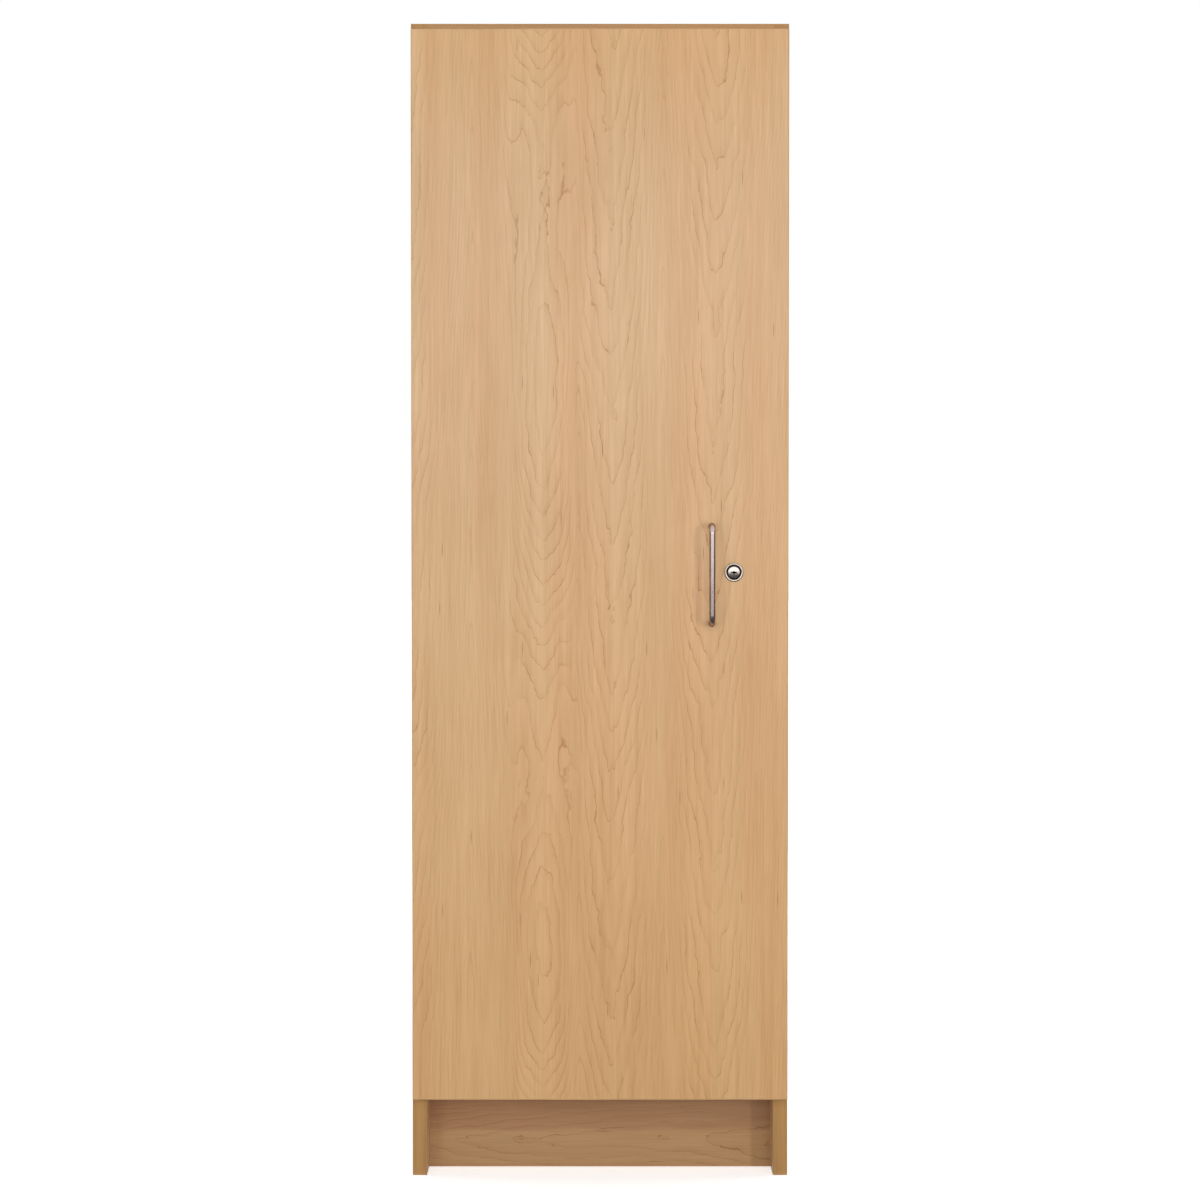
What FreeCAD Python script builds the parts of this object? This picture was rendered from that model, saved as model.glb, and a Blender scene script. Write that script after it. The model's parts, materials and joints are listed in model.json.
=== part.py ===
import FreeCAD, Part
import math
import os

# Tall laminate storage cabinet: one full-overlay door on concealed hinges, a wire pull and a cam lock.
# Millimetres. +X is right, +Y is back and +Z is up, and the front faces -Y.
# The origin is on the floor, in the middle of the box round the whole cabinet, pull included.

Vector = FreeCAD.Vector
X_AXIS = Vector(1, 0, 0)
Y_AXIS = Vector(0, 1, 0)
Z_AXIS = Vector(0, 0, 1)

# Carcass
CABINET_WIDTH = 498.0
CABINET_HEIGHT = 1524.0
CARCASS_DEPTH = 487.0
BOARD = 19.0
CARCASS_BAND = 1.0
BACK_THICKNESS = 6.0
GROOVE_DEPTH = 8.0
BACK_PLAY = 0.2
TOE_KICK_HEIGHT = 101.6
TOE_KICK_RECESS = 50.8
TOP_RAIL_HEIGHT = 96.0

# Shelves
SHELF_COUNT = 4
FIXED_SHELF = 2
SHELF_SIDE_PLAY = 0.8
SHELF_REAR_PLAY = 2.0
SHELF_SETBACK = 4.0
PEG_RADIUS = 3.4
PEG_REACH = 8.0

# 32 mm hole system
GRID = 32.0
GRID_START = 5.4
SYSTEM_HOLE_RADIUS = 2.5
STEM_DEPTH = 10.0
HOLE_PAST_STEM = 2.5
FRONT_ROW = 37.0
REAR_ROW = 37.0
HOLES_EACH_WAY = 2
FIT = 0.05

# Dowels and connectors
DOWEL_RADIUS = 4.0
DOWEL_LENGTH = 30.0
DOWEL_IN_SIDE = 11.0
DOWEL_END_PLAY = 0.5
DOWEL_PITCH = 50.0
CAM_RADIUS = 7.5
CAM_PAST_BOLT = 4.2
CAM_REACH = 24.0
CAM_CROSS = (4.0, 0.7)
CAM_CROSS_DEPTH = 2.0
CONNECTOR_INSET = 60.0
BOLT_RADIUS = 3.5
BOLT_HEAD_RADIUS = 2.8
BOLT_NECK_RADIUS = 1.6
BOLT_BODY = 15.0
BOLT_HEAD = 2.5

# Door
DOOR_THICKNESS = 19.0
DOOR_GAP = 2.0
DOOR_SIDE_REVEAL = 1.0
DOOR_TOP_REVEAL = 9.5
DOOR_BOTTOM_REVEAL = 2.9
DOOR_BAND = 1.5
BAND_ROUNDING = 1.2
BUMPER_RADIUS = 4.0
BUMPER_THICKNESS = 1.8
BUMPER_FROM_END = 30.0

# Wire pull
PULL_WIRE_RADIUS = 4.0
PULL_CENTRES = 128.0
PULL_PROJECTION = 35.0
PULL_BEND_RADIUS = 11.0
PULL_FROM_EDGE = 101.4
PULL_BELOW_LOCK = 3.0
PULL_SCREW_RADIUS = 2.0
PULL_SCREW_GRIP = 9.0
PULL_HEAD_RADIUS = 4.2
PULL_HEAD_HEIGHT = 2.4
SCREW_PLAY = 0.3

# Cam lock
LOCK_FROM_EDGE = 71.9
LOCK_ABOVE_SHELF = 120.0
BEZEL_RADIUS = 12.2
BEZEL_HEIGHT = 2.6
BEZEL_ROUNDING = 1.2
MOAT_RADIUS = 9.9
MOAT_DEPTH = 1.7
BARREL_RADIUS = 9.5
BARREL_FLATS = 16.0
BARREL_PLAY = 0.2
PLUG_HEAD_RADIUS = 7.85
PLUG_RADIUS = 6.0
PLUG_SUNK = 0.25
RUNNING_PLAY = 0.05
PLUG_END_PLAY = 0.2
KEYWAY_LENGTH = 8.0
KEYWAY_WIDTH = 1.7
KEYWAY_EYE_RADIUS = 1.8
KEYWAY_DEPTH = 9.0
NUT_SIDES = 6
NUT_FLATS = 23.0
NUT_THICKNESS = 3.5
BARREL_PAST_NUT = 0.5
CAM_PLATE = 2.0
CAM_PLATE_GAP = 0.2
CAM_ARM = 45.0
CAM_ARM_HALF_WIDTH = 6.0
CAM_HUB_RADIUS = 8.0
TAIL_RADIUS = 4.6
TAIL_FLATS = 6.6
CAM_WASHER_RADIUS = 6.0
CAM_WASHER_THICKNESS = 0.8
CAM_SCREW_RADIUS = 2.0
CAM_SCREW_GRIP = 8.0
CAM_SCREW_HEAD_RADIUS = 3.6
CAM_SCREW_HEAD = 2.6
STRIKE_THICKNESS = 1.2
STRIKE_GAP = 0.6
STRIKE_HALF_HEIGHT = 18.0
STRIKE_LIP = 18.0
STRIKE_FOOT = 26.0
STRIKE_SCREW_RADIUS = 1.7
STRIKE_SCREW_LENGTH = 14.0
STRIKE_SCREW_PITCH = 22.0
STRIKE_SCREW_BACK = 18.0
STRIKE_SCREW_HEAD_RADIUS = 3.2
STRIKE_SCREW_HEAD = 1.6

# Concealed hinges: the cup in the door
HINGE_FROM_END = 100.0
CUP_FROM_EDGE = 22.5
CUP_RADIUS = 17.5
CUP_WALL = 1.2
CUP_DEPTH = 12.0
CUP_BORE_PLAY = 0.3
POCKET_HALF_HEIGHT = 9.5
MOUTH_DROP = 0.4
FLANGE_THICKNESS = 1.2
FLANGE_HALF_HEIGHT = 28.0
FLANGE_BEHIND = 7.0
FLANGE_AHEAD = 15.0
FLANGE_CORNER = 5.0
CUP_SCREW_SPACING = 45.0
CUP_SCREW_OFFSET = 9.5
CUP_SCREW_RADIUS = 1.6
CUP_SCREW_HEAD_RADIUS = 3.2
CUP_SCREW_LENGTH = 13.0

# Concealed hinges: the four pivots, as distance along the panel and distance from its face.
# The cup's are measured from the cup's middle and the door's rear face, towards the front.
# The arm's are measured from the side panel's inner face and the carcass front, towards the back.
CUP_PIVOT_INNER = (-12.5, 3.85)
CUP_PIVOT_OUTER = (-7.0, 4.5)
ARM_PIVOT_INNER = (11.5, 12.5)
ARM_PIVOT_OUTER = (16.5, -3.6)
PIVOT_RADIUS = 1.25
PIVOT_SEAT = 1.1

# Concealed hinges: the links. Each bows away from the door's edge so that it clears it when open.
# Each elbow is a distance from the arm's pivot along the link, and a distance to its left.
INNER_LINK_HALF_HEIGHT = 2.6
INNER_LINK_HALF_WIDTH = 1.2
INNER_LINK_EYE = 2.6
INNER_LINK_ELBOWS = ((17.2, 6.7), (24.4, 5.75))
OUTER_LINK_LOW = 3.1
OUTER_LINK_PLATE = 1.2
OUTER_LINK_HALF_WIDTH = 1.5
OUTER_LINK_EYE = 2.6
OUTER_LINK_ELBOWS = ((9.0, 3.2),)
SLOT_TRAVEL = 2.9
SLOT_LEAN = 0.25
SLOT_PLAY = 0.75
SLOT_WALL = 1.0

# Concealed hinges: the arm and its mounting plate on the side panel
ARM_INNER_HALF = 4.8
ARM_SHEET = 1.3
ARM_REACH = 68.0
ARM_RISE = 9.6
ARM_FOOT = 2.6
ARM_NOSE_EYE = 2.6
ARM_SLOPE_END = 26.0
PLATE_THICKNESS = 2.0
PLATE_HALF_HEIGHT = 23.0
PLATE_HALF_WIDTH = 6.5
PLATE_CORNER = 5.8
RIDGE_HALF_HEIGHT = 4.6
RIDGE_START = 24.0
RIDGE_END = 64.0
RIDGE_HEIGHT = 8.2
PLATE_SCREW_HEAD_RADIUS = 4.4
PLATE_SCREW_HEAD = 1.8
ARM_SCREW_AT = (34.0, 56.0)
ARM_SCREW_RADIUS = 2.0
ARM_SCREW_HEAD_RADIUS = 3.6
ARM_SCREW_HEAD = 1.4
ARM_SCREW_GRIP = 5.0

# Planes that everything is built from
half_width = CABINET_WIDTH / 2
inner_x = half_width - BOARD
overall_depth = PULL_PROJECTION + DOOR_THICKNESS + DOOR_GAP + CARCASS_DEPTH
door_front_y = -overall_depth / 2 + PULL_PROJECTION
door_rear_y = door_front_y + DOOR_THICKNESS
front_y = door_rear_y + DOOR_GAP
rear_y = front_y + CARCASS_DEPTH
back_panel_rear_y = rear_y - BOARD
back_panel_front_y = back_panel_rear_y - BACK_THICKNESS
groove_front_y = back_panel_front_y - BACK_PLAY / 2
groove_rear_y = back_panel_rear_y + BACK_PLAY / 2
bottom_top_z = TOE_KICK_HEIGHT + BOARD
top_under_z = CABINET_HEIGHT - BOARD
door_bottom_z = TOE_KICK_HEIGHT + DOOR_BOTTOM_REVEAL
door_top_z = CABINET_HEIGHT - DOOR_TOP_REVEAL
door_edge_x = half_width - DOOR_SIDE_REVEAL
cup_x = -door_edge_x + CUP_FROM_EDGE
pull_x = door_edge_x - PULL_FROM_EDGE
lock_x = door_edge_x - LOCK_FROM_EDGE
space_height = (top_under_z - bottom_top_z - SHELF_COUNT * BOARD) / (SHELF_COUNT + 1)
fixed_shelf_z = bottom_top_z + FIXED_SHELF * (space_height + BOARD) - BOARD
lock_z = fixed_shelf_z + BOARD + LOCK_ABOVE_SHELF
pull_z = lock_z - PULL_BELOW_LOCK
front_row_y = front_y + FRONT_ROW
rear_row_y = front_row_y + (back_panel_front_y - REAR_ROW - front_row_y) // GRID * GRID

pieces = {}
cuts = {}


def box(low, high):
    """Box between two opposite corners."""
    return Part.makeBox(high[0] - low[0], high[1] - low[1], high[2] - low[2], Vector(*low))


def rod(radius, start, end):
    """Round bar between two points."""
    start = Vector(*start)
    end = Vector(*end)
    return Part.makeCylinder(radius, (end - start).Length, start, end - start)


def join(shapes):
    """One clean solid from shapes that touch or overlap."""
    return shapes[0].fuse(shapes[1:]).removeSplitter()


def add(name, shape):
    """Adds one piece, or a group of like pieces given as a list, under a node's name."""
    pieces[name] = Part.makeCompound(shape) if isinstance(shape, list) else shape


def bore(name, cutter):
    """Notes a hole or recess to be cut in a piece once all pieces are there."""
    cuts.setdefault(name, []).append(cutter)


def on_grid(z, offset=0.0):
    """Nearest row of the hole system to a height, or the nearest point at an offset from a row."""
    start = bottom_top_z + GRID_START + offset
    return start + round((z - start) / GRID) * GRID


def side_name(side):
    """Name of the left (-1) or right (1) side panel."""
    return "side_panel_left" if side < 0 else "side_panel_right"


def edges_along(shape, axis):
    """The straight edges of a box that run along an axis."""
    return [edge for edge in shape.Edges if edge.tangentAt(edge.FirstParameter).cross(axis).Length < FIT]


def add_side_panels():
    """The two full-height sides, each with a stopped groove for the back."""
    for side in (-1, 1):
        low_x = min(side * inner_x, side * half_width)
        core = box((low_x, front_y + CARCASS_BAND, 0), (low_x + BOARD, rear_y, CABINET_HEIGHT))
        add(side_name(side), core)
        floor_x = side * (inner_x + GROOVE_DEPTH)
        low_z = bottom_top_z - GROOVE_DEPTH
        groove_low = (min(side * inner_x, floor_x), groove_front_y, low_z)
        groove_high = (max(side * inner_x, floor_x), groove_rear_y, top_under_z + GROOVE_DEPTH)
        bore(side_name(side), box(groove_low, groove_high))
        band = box((low_x, front_y, 0), (low_x + BOARD, front_y + CARCASS_BAND, CABINET_HEIGHT))
        add("side_edge_band_left" if side < 0 else "side_edge_band_right", band)


def add_board(name, low_y, high_y, low_z, high_z):
    """A board that runs from one side panel to the other."""
    add(name, box((-inner_x, low_y, low_z), (inner_x, high_y, high_z)))


def add_top_and_bottom():
    """Top and bottom panels, grooved for the back, with their front edge bands."""
    for name, low_z, groove_z in (
        ("bottom_panel", TOE_KICK_HEIGHT, bottom_top_z - GROOVE_DEPTH),
        ("top_panel", top_under_z, top_under_z),
    ):
        add_board(name, front_y + CARCASS_BAND, rear_y, low_z, low_z + BOARD)
        add_board(name.replace("panel", "edge_band"), front_y, front_y + CARCASS_BAND, low_z, low_z + BOARD)
        groove_low = (-inner_x, groove_front_y, groove_z)
        bore(name, box(groove_low, (inner_x, groove_rear_y, groove_z + GROOVE_DEPTH)))


def add_back_and_rails():
    """Back panel in its grooves, the toe-kick board, and the rails that stiffen the rear."""
    reach_x = inner_x + GROOVE_DEPTH - BACK_PLAY
    low = (-reach_x, back_panel_front_y, bottom_top_z - GROOVE_DEPTH + BACK_PLAY)
    add("back_panel", box(low, (reach_x, back_panel_rear_y, top_under_z + GROOVE_DEPTH - BACK_PLAY)))
    toe_y = front_y + TOE_KICK_RECESS
    add_board("toe_kick_board", toe_y, toe_y + BOARD, 0, TOE_KICK_HEIGHT)
    add_board("rear_base_rail", rear_y - BOARD, rear_y, 0, TOE_KICK_HEIGHT)
    add_board("rear_top_rail", rear_y - BOARD, rear_y, top_under_z - TOP_RAIL_HEIGHT, top_under_z)


def shelf_underside(number):
    """Underside of shelf 1, 2, 3... from the bottom, evenly spaced, and on the holes if it is loose."""
    if number == FIXED_SHELF:
        return fixed_shelf_z
    even = bottom_top_z + number * (space_height + BOARD) - BOARD
    return on_grid(even - PEG_RADIUS) + PEG_RADIUS


def add_shelves():
    """The fixed shelf and the loose ones, each with an edge band, and the pegs under the loose ones."""
    bands = []
    pegs = []
    for number in range(1, SHELF_COUNT + 1):
        low_z = shelf_underside(number)
        fixed = number == FIXED_SHELF
        half = inner_x if fixed else inner_x - SHELF_SIDE_PLAY
        shelf_front = front_y + SHELF_SETBACK
        shelf_rear = back_panel_front_y - (BACK_PLAY if fixed else SHELF_REAR_PLAY)
        name = "fixed_shelf" if fixed else "adjustable_shelf_%d" % (number - (number > FIXED_SHELF))
        low = (-half, shelf_front + CARCASS_BAND, low_z)
        add(name, box(low, (half, shelf_rear, low_z + BOARD)))
        bands.append(box((-half, shelf_front, low_z), (half, shelf_front + CARCASS_BAND, low_z + BOARD)))
        if not fixed:
            pegs += shelf_pegs(low_z - PEG_RADIUS)
    add("shelf_edge_bands", bands)
    add("shelf_pegs", pegs)


def shelf_pegs(peg_z):
    """Four stepped pegs at one height, and the rows of holes round them in both sides."""
    pegs = []
    for side in (-1, 1):
        for row_y in (front_row_y, rear_row_y):
            face = (side * inner_x, row_y, peg_z)
            stem_end = (side * (inner_x + STEM_DEPTH), row_y, peg_z)
            head_end = (side * (inner_x - PEG_REACH), row_y, peg_z)
            stem = rod(SYSTEM_HOLE_RADIUS - FIT, face, stem_end)
            pegs.append(join([stem, rod(PEG_RADIUS, face, head_end)]))
            for step in range(-HOLES_EACH_WAY, HOLES_EACH_WAY + 1):
                system_hole(side, row_y, peg_z + step * GRID)
    return pegs


def system_hole(side, y, z):
    """One blind hole of the 32 mm system in a side panel's inner face."""
    deep = (side * (inner_x + STEM_DEPTH + HOLE_PAST_STEM), y, z)
    bore(side_name(side), rod(SYSTEM_HOLE_RADIUS, (side * inner_x, y, z), deep))


def add_dowels():
    """Dowels across each end of every board that is fixed between the sides."""
    middle_y = (front_y + back_panel_front_y) / 2
    shelf_z = fixed_shelf_z + BOARD / 2
    toe_y = front_y + TOE_KICK_RECESS + BOARD / 2
    rail_y = rear_y - BOARD / 2
    base_z = TOE_KICK_HEIGHT / 2
    top_rail_z = top_under_z - TOP_RAIL_HEIGHT / 2
    places = [("top_panel", middle_y, top_under_z + BOARD / 2)]
    places += [("bottom_panel", middle_y, TOE_KICK_HEIGHT + BOARD / 2)]
    places += [("fixed_shelf", middle_y, shelf_z)]
    upright = [("toe_kick_board", toe_y, base_z), ("rear_base_rail", rail_y, base_z)]
    upright += [("rear_top_rail", rail_y, top_rail_z)]
    for name, y, z in upright:
        places += [(name, y, z + half * DOWEL_PITCH / 2) for half in (-1, 1)]
    dowels = []
    for name, y, z in places:
        for side in (-1, 1):
            outer = inner_x + DOWEL_IN_SIDE
            inner = outer - DOWEL_LENGTH
            dowels.append(rod(DOWEL_RADIUS - FIT, (side * outer, y, z), (side * inner, y, z)))
            face = (side * inner_x, y, z)
            bore(side_name(side), rod(DOWEL_RADIUS, face, (side * (outer + DOWEL_END_PLAY), y, z)))
            bore(name, rod(DOWEL_RADIUS, face, (side * (inner - DOWEL_END_PLAY), y, z)))
    add("dowels", dowels)


def add_connectors():
    """Connecting bolts in the sides, held by turning cams in the undersides of the boards."""
    bolts = []
    cams = []
    undersides = {
        "top_panel": top_under_z,
        "bottom_panel": TOE_KICK_HEIGHT,
        "fixed_shelf": fixed_shelf_z,
    }
    for name, low_z in undersides.items():
        for y in (front_y + CONNECTOR_INSET, back_panel_front_y - CONNECTOR_INSET):
            for side in (-1, 1):
                bolts.append(connecting_bolt(side, y, low_z + BOARD / 2))
                cams.append(turning_cam(side, y, low_z))
                connector_bores(name, side, y, low_z)
    add("connecting_bolts", bolts)
    add("connector_cams", cams)


def connecting_bolt(side, y, z):
    """Threaded end in the side, a stout body in the board's end, and a headed neck in the cam."""
    head_end = inner_x - CAM_REACH
    stations = (inner_x + STEM_DEPTH, inner_x, inner_x - BOLT_BODY, head_end + BOLT_HEAD, head_end)
    radii = (SYSTEM_HOLE_RADIUS - FIT, BOLT_RADIUS, BOLT_NECK_RADIUS, BOLT_HEAD_RADIUS)
    runs = zip(radii, stations[:-1], stations[1:])
    return join([rod(r, (side * a, y, z), (side * b, y, z)) for r, a, b in runs])


def turning_cam(side, y, low_z):
    """Round cam with a slot for the bolt's head and a cross recess underneath."""
    centre_x = side * (inner_x - CAM_REACH)
    bolt_z = low_z + BOARD / 2
    cam = rod(CAM_RADIUS - FIT, (centre_x, y, low_z), (centre_x, y, bolt_z + CAM_PAST_BOLT))
    slot_end = (centre_x + side * CAM_RADIUS, y, bolt_z)
    cam = cam.cut(rod(BOLT_HEAD_RADIUS + SCREW_PLAY, (centre_x - side * BOLT_HEAD, y, bolt_z), slot_end))
    for half_x, half_y in (CAM_CROSS, CAM_CROSS[::-1]):
        corner = (centre_x - half_x, y - half_y, low_z)
        cam = cam.cut(box(corner, (centre_x + half_x, y + half_y, low_z + CAM_CROSS_DEPTH)))
    return cam


def connector_bores(name, side, y, low_z):
    """Cam hole and bolt channel in the board, and the bolt's hole in the side."""
    centre_x = side * (inner_x - CAM_REACH)
    bolt_z = low_z + BOARD / 2
    cam_hole_top = bolt_z + CAM_PAST_BOLT + DOWEL_END_PLAY
    bore(name, rod(CAM_RADIUS, (centre_x, y, low_z), (centre_x, y, cam_hole_top)))
    bore(name, rod(BOLT_RADIUS + SCREW_PLAY, (centre_x, y, bolt_z), (side * inner_x, y, bolt_z)))
    system_hole(side, y, bolt_z)


def add_door():
    """Door core and its four rounded edge bands."""
    low_x = -door_edge_x + DOOR_BAND
    core_low = (low_x, door_front_y, door_bottom_z + DOOR_BAND)
    add("door_panel", box(core_low, (-low_x, door_rear_y, door_top_z - DOOR_BAND)))
    outer = box((-door_edge_x, door_front_y, door_bottom_z), (door_edge_x, door_rear_y, door_top_z))
    ring = outer.makeFillet(BAND_ROUNDING, outer.Edges).cut(pieces["door_panel"])
    upper_z = door_top_z - DOOR_BAND
    lower_z = door_bottom_z + DOOR_BAND
    zones = {
        "door_edge_band_left": ((-half_width, door_bottom_z), (low_x, door_top_z)),
        "door_edge_band_right": ((-low_x, door_bottom_z), (half_width, door_top_z)),
        "door_edge_band_top": ((low_x, upper_z), (-low_x, door_top_z)),
        "door_edge_band_bottom": ((low_x, door_bottom_z), (-low_x, lower_z)),
    }
    for name, (low, high) in zones.items():
        zone = box((low[0], door_front_y, low[1]), (high[0], door_rear_y, high[1]))
        add(name, ring.common(zone).Solids[0])


def add_bumpers():
    """Two soft dots on the door's inside that meet the right side panel's front edge."""
    x = half_width - BOARD / 2
    heights = (door_bottom_z + BUMPER_FROM_END, door_top_z - BUMPER_FROM_END)
    front = (door_rear_y, door_rear_y + BUMPER_THICKNESS)
    add("door_bumpers", [rod(BUMPER_RADIUS, (x, front[0], z), (x, front[1], z)) for z in heights])


def add_pull():
    """Bent wire pull, and the two screws that hold it from behind the door."""
    bar_y = door_front_y - PULL_PROJECTION + PULL_WIRE_RADIUS
    low_z = pull_z - PULL_CENTRES / 2
    high_z = pull_z + PULL_CENTRES / 2
    bend = PULL_BEND_RADIUS
    leg_y = bar_y + bend
    mid_y = bar_y + bend * (1 - math.cos(math.pi / 4))
    tuck = mid_y - bar_y

    def point(y, z):
        return Vector(pull_x, y, z)

    path = [Part.LineSegment(point(door_front_y, low_z), point(leg_y, low_z))]
    path += [Part.Arc(point(leg_y, low_z), point(mid_y, low_z + tuck), point(bar_y, low_z + bend))]
    path += [Part.LineSegment(point(bar_y, low_z + bend), point(bar_y, high_z - bend))]
    path += [Part.Arc(point(bar_y, high_z - bend), point(mid_y, high_z - tuck), point(leg_y, high_z))]
    path += [Part.LineSegment(point(leg_y, high_z), point(door_front_y, high_z))]
    spine = Part.Wire([segment.toShape() for segment in path])
    ring = Part.Wire(Part.makeCircle(PULL_WIRE_RADIUS, point(door_front_y, low_z), Y_AXIS))
    add("pull_handle", spine.makePipeShell([ring], True, False))
    screws = []
    for z in (low_z, high_z):
        tip = (pull_x, door_front_y - PULL_SCREW_GRIP, z)
        deep = (pull_x, door_front_y - PULL_SCREW_GRIP - SCREW_PLAY, z)
        seat = (pull_x, door_rear_y, z)
        head = (pull_x, door_rear_y + PULL_HEAD_HEIGHT, z)
        screws.append(join([rod(PULL_SCREW_RADIUS - FIT, tip, seat), rod(PULL_HEAD_RADIUS, seat, head)]))
        bore("pull_handle", rod(PULL_SCREW_RADIUS, (pull_x, door_front_y, z), deep))
        bore("door_panel", rod(PULL_SCREW_RADIUS + SCREW_PLAY, (pull_x, door_front_y, z), seat))
    add("pull_screws", screws)


# The lock's planes, from its face to its cam
bezel_front_y = door_front_y - BEZEL_HEIGHT
moat_floor_y = bezel_front_y + MOAT_DEPTH
plug_face_y = bezel_front_y + PLUG_SUNK
barrel_end_y = door_rear_y + NUT_THICKNESS + BARREL_PAST_NUT
cam_front_y = barrel_end_y + CAM_PLATE_GAP
cam_rear_y = cam_front_y + CAM_PLATE
strike_rear_y = cam_front_y - STRIKE_GAP


def lock_point(y, x=0.0, z=0.0):
    """A point given from the lock's centre line."""
    return (lock_x + x, y, lock_z + z)


def lock_rod(radius, start_y, end_y):
    """Round bar on the lock's centre line."""
    return rod(radius, lock_point(start_y), lock_point(end_y))


def flatted_rod(radius, flats, start_y, end_y):
    """Round bar on the lock's centre line with two flats, above and below."""
    slab = box(lock_point(start_y, -radius, -flats / 2), lock_point(end_y, radius, flats / 2))
    return lock_rod(radius, start_y, end_y).common(slab)


def add_lock():
    """Housing with its round bezel, the nut behind the door, and the turning plug with its cam."""
    bezel = lock_rod(BEZEL_RADIUS, bezel_front_y, door_front_y)
    rim = [edge for edge in bezel.Edges if edge.BoundBox.YMax < bezel_front_y + FIT]
    bezel = bezel.makeFillet(BEZEL_ROUNDING, rim)
    housing = join([bezel, flatted_rod(BARREL_RADIUS, BARREL_FLATS, door_front_y, barrel_end_y)])
    housing = housing.cut(lock_rod(MOAT_RADIUS, bezel_front_y, moat_floor_y))
    add("lock_housing", housing.cut(lock_rod(PLUG_RADIUS + RUNNING_PLAY, moat_floor_y, barrel_end_y)))
    bore("door_panel", lock_rod(BARREL_RADIUS + BARREL_PLAY, door_front_y, door_rear_y))

    corner = NUT_FLATS / 2 / math.cos(math.pi / NUT_SIDES)
    turns = [2 * math.pi * step / NUT_SIDES for step in range(NUT_SIDES + 1)]
    hexagon = [Vector(*lock_point(door_rear_y, corner * math.cos(a), corner * math.sin(a))) for a in turns]
    nut = Part.Face(Part.makePolygon(hexagon)).extrude(Y_AXIS * NUT_THICKNESS)
    add("lock_nut", nut.cut(lock_rod(BARREL_RADIUS + FIT, door_rear_y, door_rear_y + NUT_THICKNESS)))

    head = lock_rod(PLUG_HEAD_RADIUS, plug_face_y, moat_floor_y - PLUG_END_PLAY)
    stem = lock_rod(PLUG_RADIUS, moat_floor_y - PLUG_END_PLAY, cam_front_y)
    tail = flatted_rod(TAIL_RADIUS, TAIL_FLATS, cam_front_y, cam_rear_y)
    plug = join([head, stem, tail])
    slot = box(
        lock_point(plug_face_y, -KEYWAY_LENGTH / 2, -KEYWAY_WIDTH / 2),
        lock_point(plug_face_y + KEYWAY_DEPTH, KEYWAY_LENGTH / 2, KEYWAY_WIDTH / 2),
    )
    plug = plug.cut(slot).cut(lock_rod(KEYWAY_EYE_RADIUS, plug_face_y, plug_face_y + KEYWAY_DEPTH))
    screw_hole = lock_rod(CAM_SCREW_RADIUS, cam_rear_y - CAM_SCREW_GRIP - SCREW_PLAY, cam_rear_y)
    add("lock_plug", plug.cut(screw_hole))


def add_lock_cam():
    """Cam plate that points up when unlocked, with the washer and screw that hold it."""
    hub = lock_rod(CAM_HUB_RADIUS, cam_front_y, cam_rear_y)
    tip_z = CAM_ARM - CAM_ARM_HALF_WIDTH
    arm_low = lock_point(cam_front_y, -CAM_ARM_HALF_WIDTH, 0)
    arm = box(arm_low, lock_point(cam_rear_y, CAM_ARM_HALF_WIDTH, tip_z))
    tip = rod(CAM_ARM_HALF_WIDTH, lock_point(cam_front_y, 0, tip_z), lock_point(cam_rear_y, 0, tip_z))
    cam = join([hub, arm, tip])
    add("lock_cam", cam.cut(flatted_rod(TAIL_RADIUS + FIT, TAIL_FLATS + 2 * FIT, cam_front_y, cam_rear_y)))
    head_y = cam_rear_y + CAM_WASHER_THICKNESS
    washer = lock_rod(CAM_WASHER_RADIUS, cam_rear_y, head_y)
    add("cam_washer", washer.cut(lock_rod(CAM_SCREW_RADIUS + FIT, cam_rear_y, head_y)))
    shank = lock_rod(CAM_SCREW_RADIUS - FIT, cam_rear_y - CAM_SCREW_GRIP, head_y)
    add("cam_screw", join([shank, lock_rod(CAM_SCREW_HEAD_RADIUS, head_y, head_y + CAM_SCREW_HEAD)]))


def add_strike():
    """Bent strike on the right side panel: the cam turns behind its lip."""
    lip_front = strike_rear_y - STRIKE_THICKNESS
    low_z = lock_z - STRIKE_HALF_HEIGHT
    high_z = lock_z + STRIKE_HALF_HEIGHT
    lip = box((inner_x - STRIKE_LIP, lip_front, low_z), (inner_x, strike_rear_y, high_z))
    foot_low = (inner_x - STRIKE_THICKNESS, lip_front, low_z)
    foot = box(foot_low, (inner_x, lip_front + STRIKE_FOOT, high_z))
    add("lock_strike", join([lip, foot]))
    screws = []
    screw_y = lip_front + STRIKE_SCREW_BACK
    for half in (-1, 1):
        z = lock_z + half * STRIKE_SCREW_PITCH / 2
        seat = (inner_x - STRIKE_THICKNESS, screw_y, z)
        tip = (inner_x - STRIKE_THICKNESS + STRIKE_SCREW_LENGTH, screw_y, z)
        head = (inner_x - STRIKE_THICKNESS - STRIKE_SCREW_HEAD, screw_y, z)
        screws.append(join([rod(STRIKE_SCREW_RADIUS, seat, tip), rod(STRIKE_SCREW_HEAD_RADIUS, head, seat)]))
        for name in ("lock_strike", "side_panel_right"):
            bore(name, rod(STRIKE_SCREW_RADIUS + FIT, seat, tip))
    add("strike_screws", screws)


def cup_point(along, depth):
    """Plan position in the door, from the cup's middle and the door's rear face."""
    return (cup_x + along, door_rear_y - depth)


def arm_point(along, depth):
    """Plan position on the arm, from the side panel's inner face and the carcass front."""
    return (-inner_x + along, front_y + depth)


cup_inner = cup_point(*CUP_PIVOT_INNER)
cup_outer = cup_point(*CUP_PIVOT_OUTER)
arm_inner = arm_point(*ARM_PIVOT_INNER)
arm_outer = arm_point(*ARM_PIVOT_OUTER)


def pin(radius, at, low_z, high_z):
    """Upright round bar at a plan position."""
    return rod(radius, (at[0], at[1], low_z), (at[0], at[1], high_z))


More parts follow.
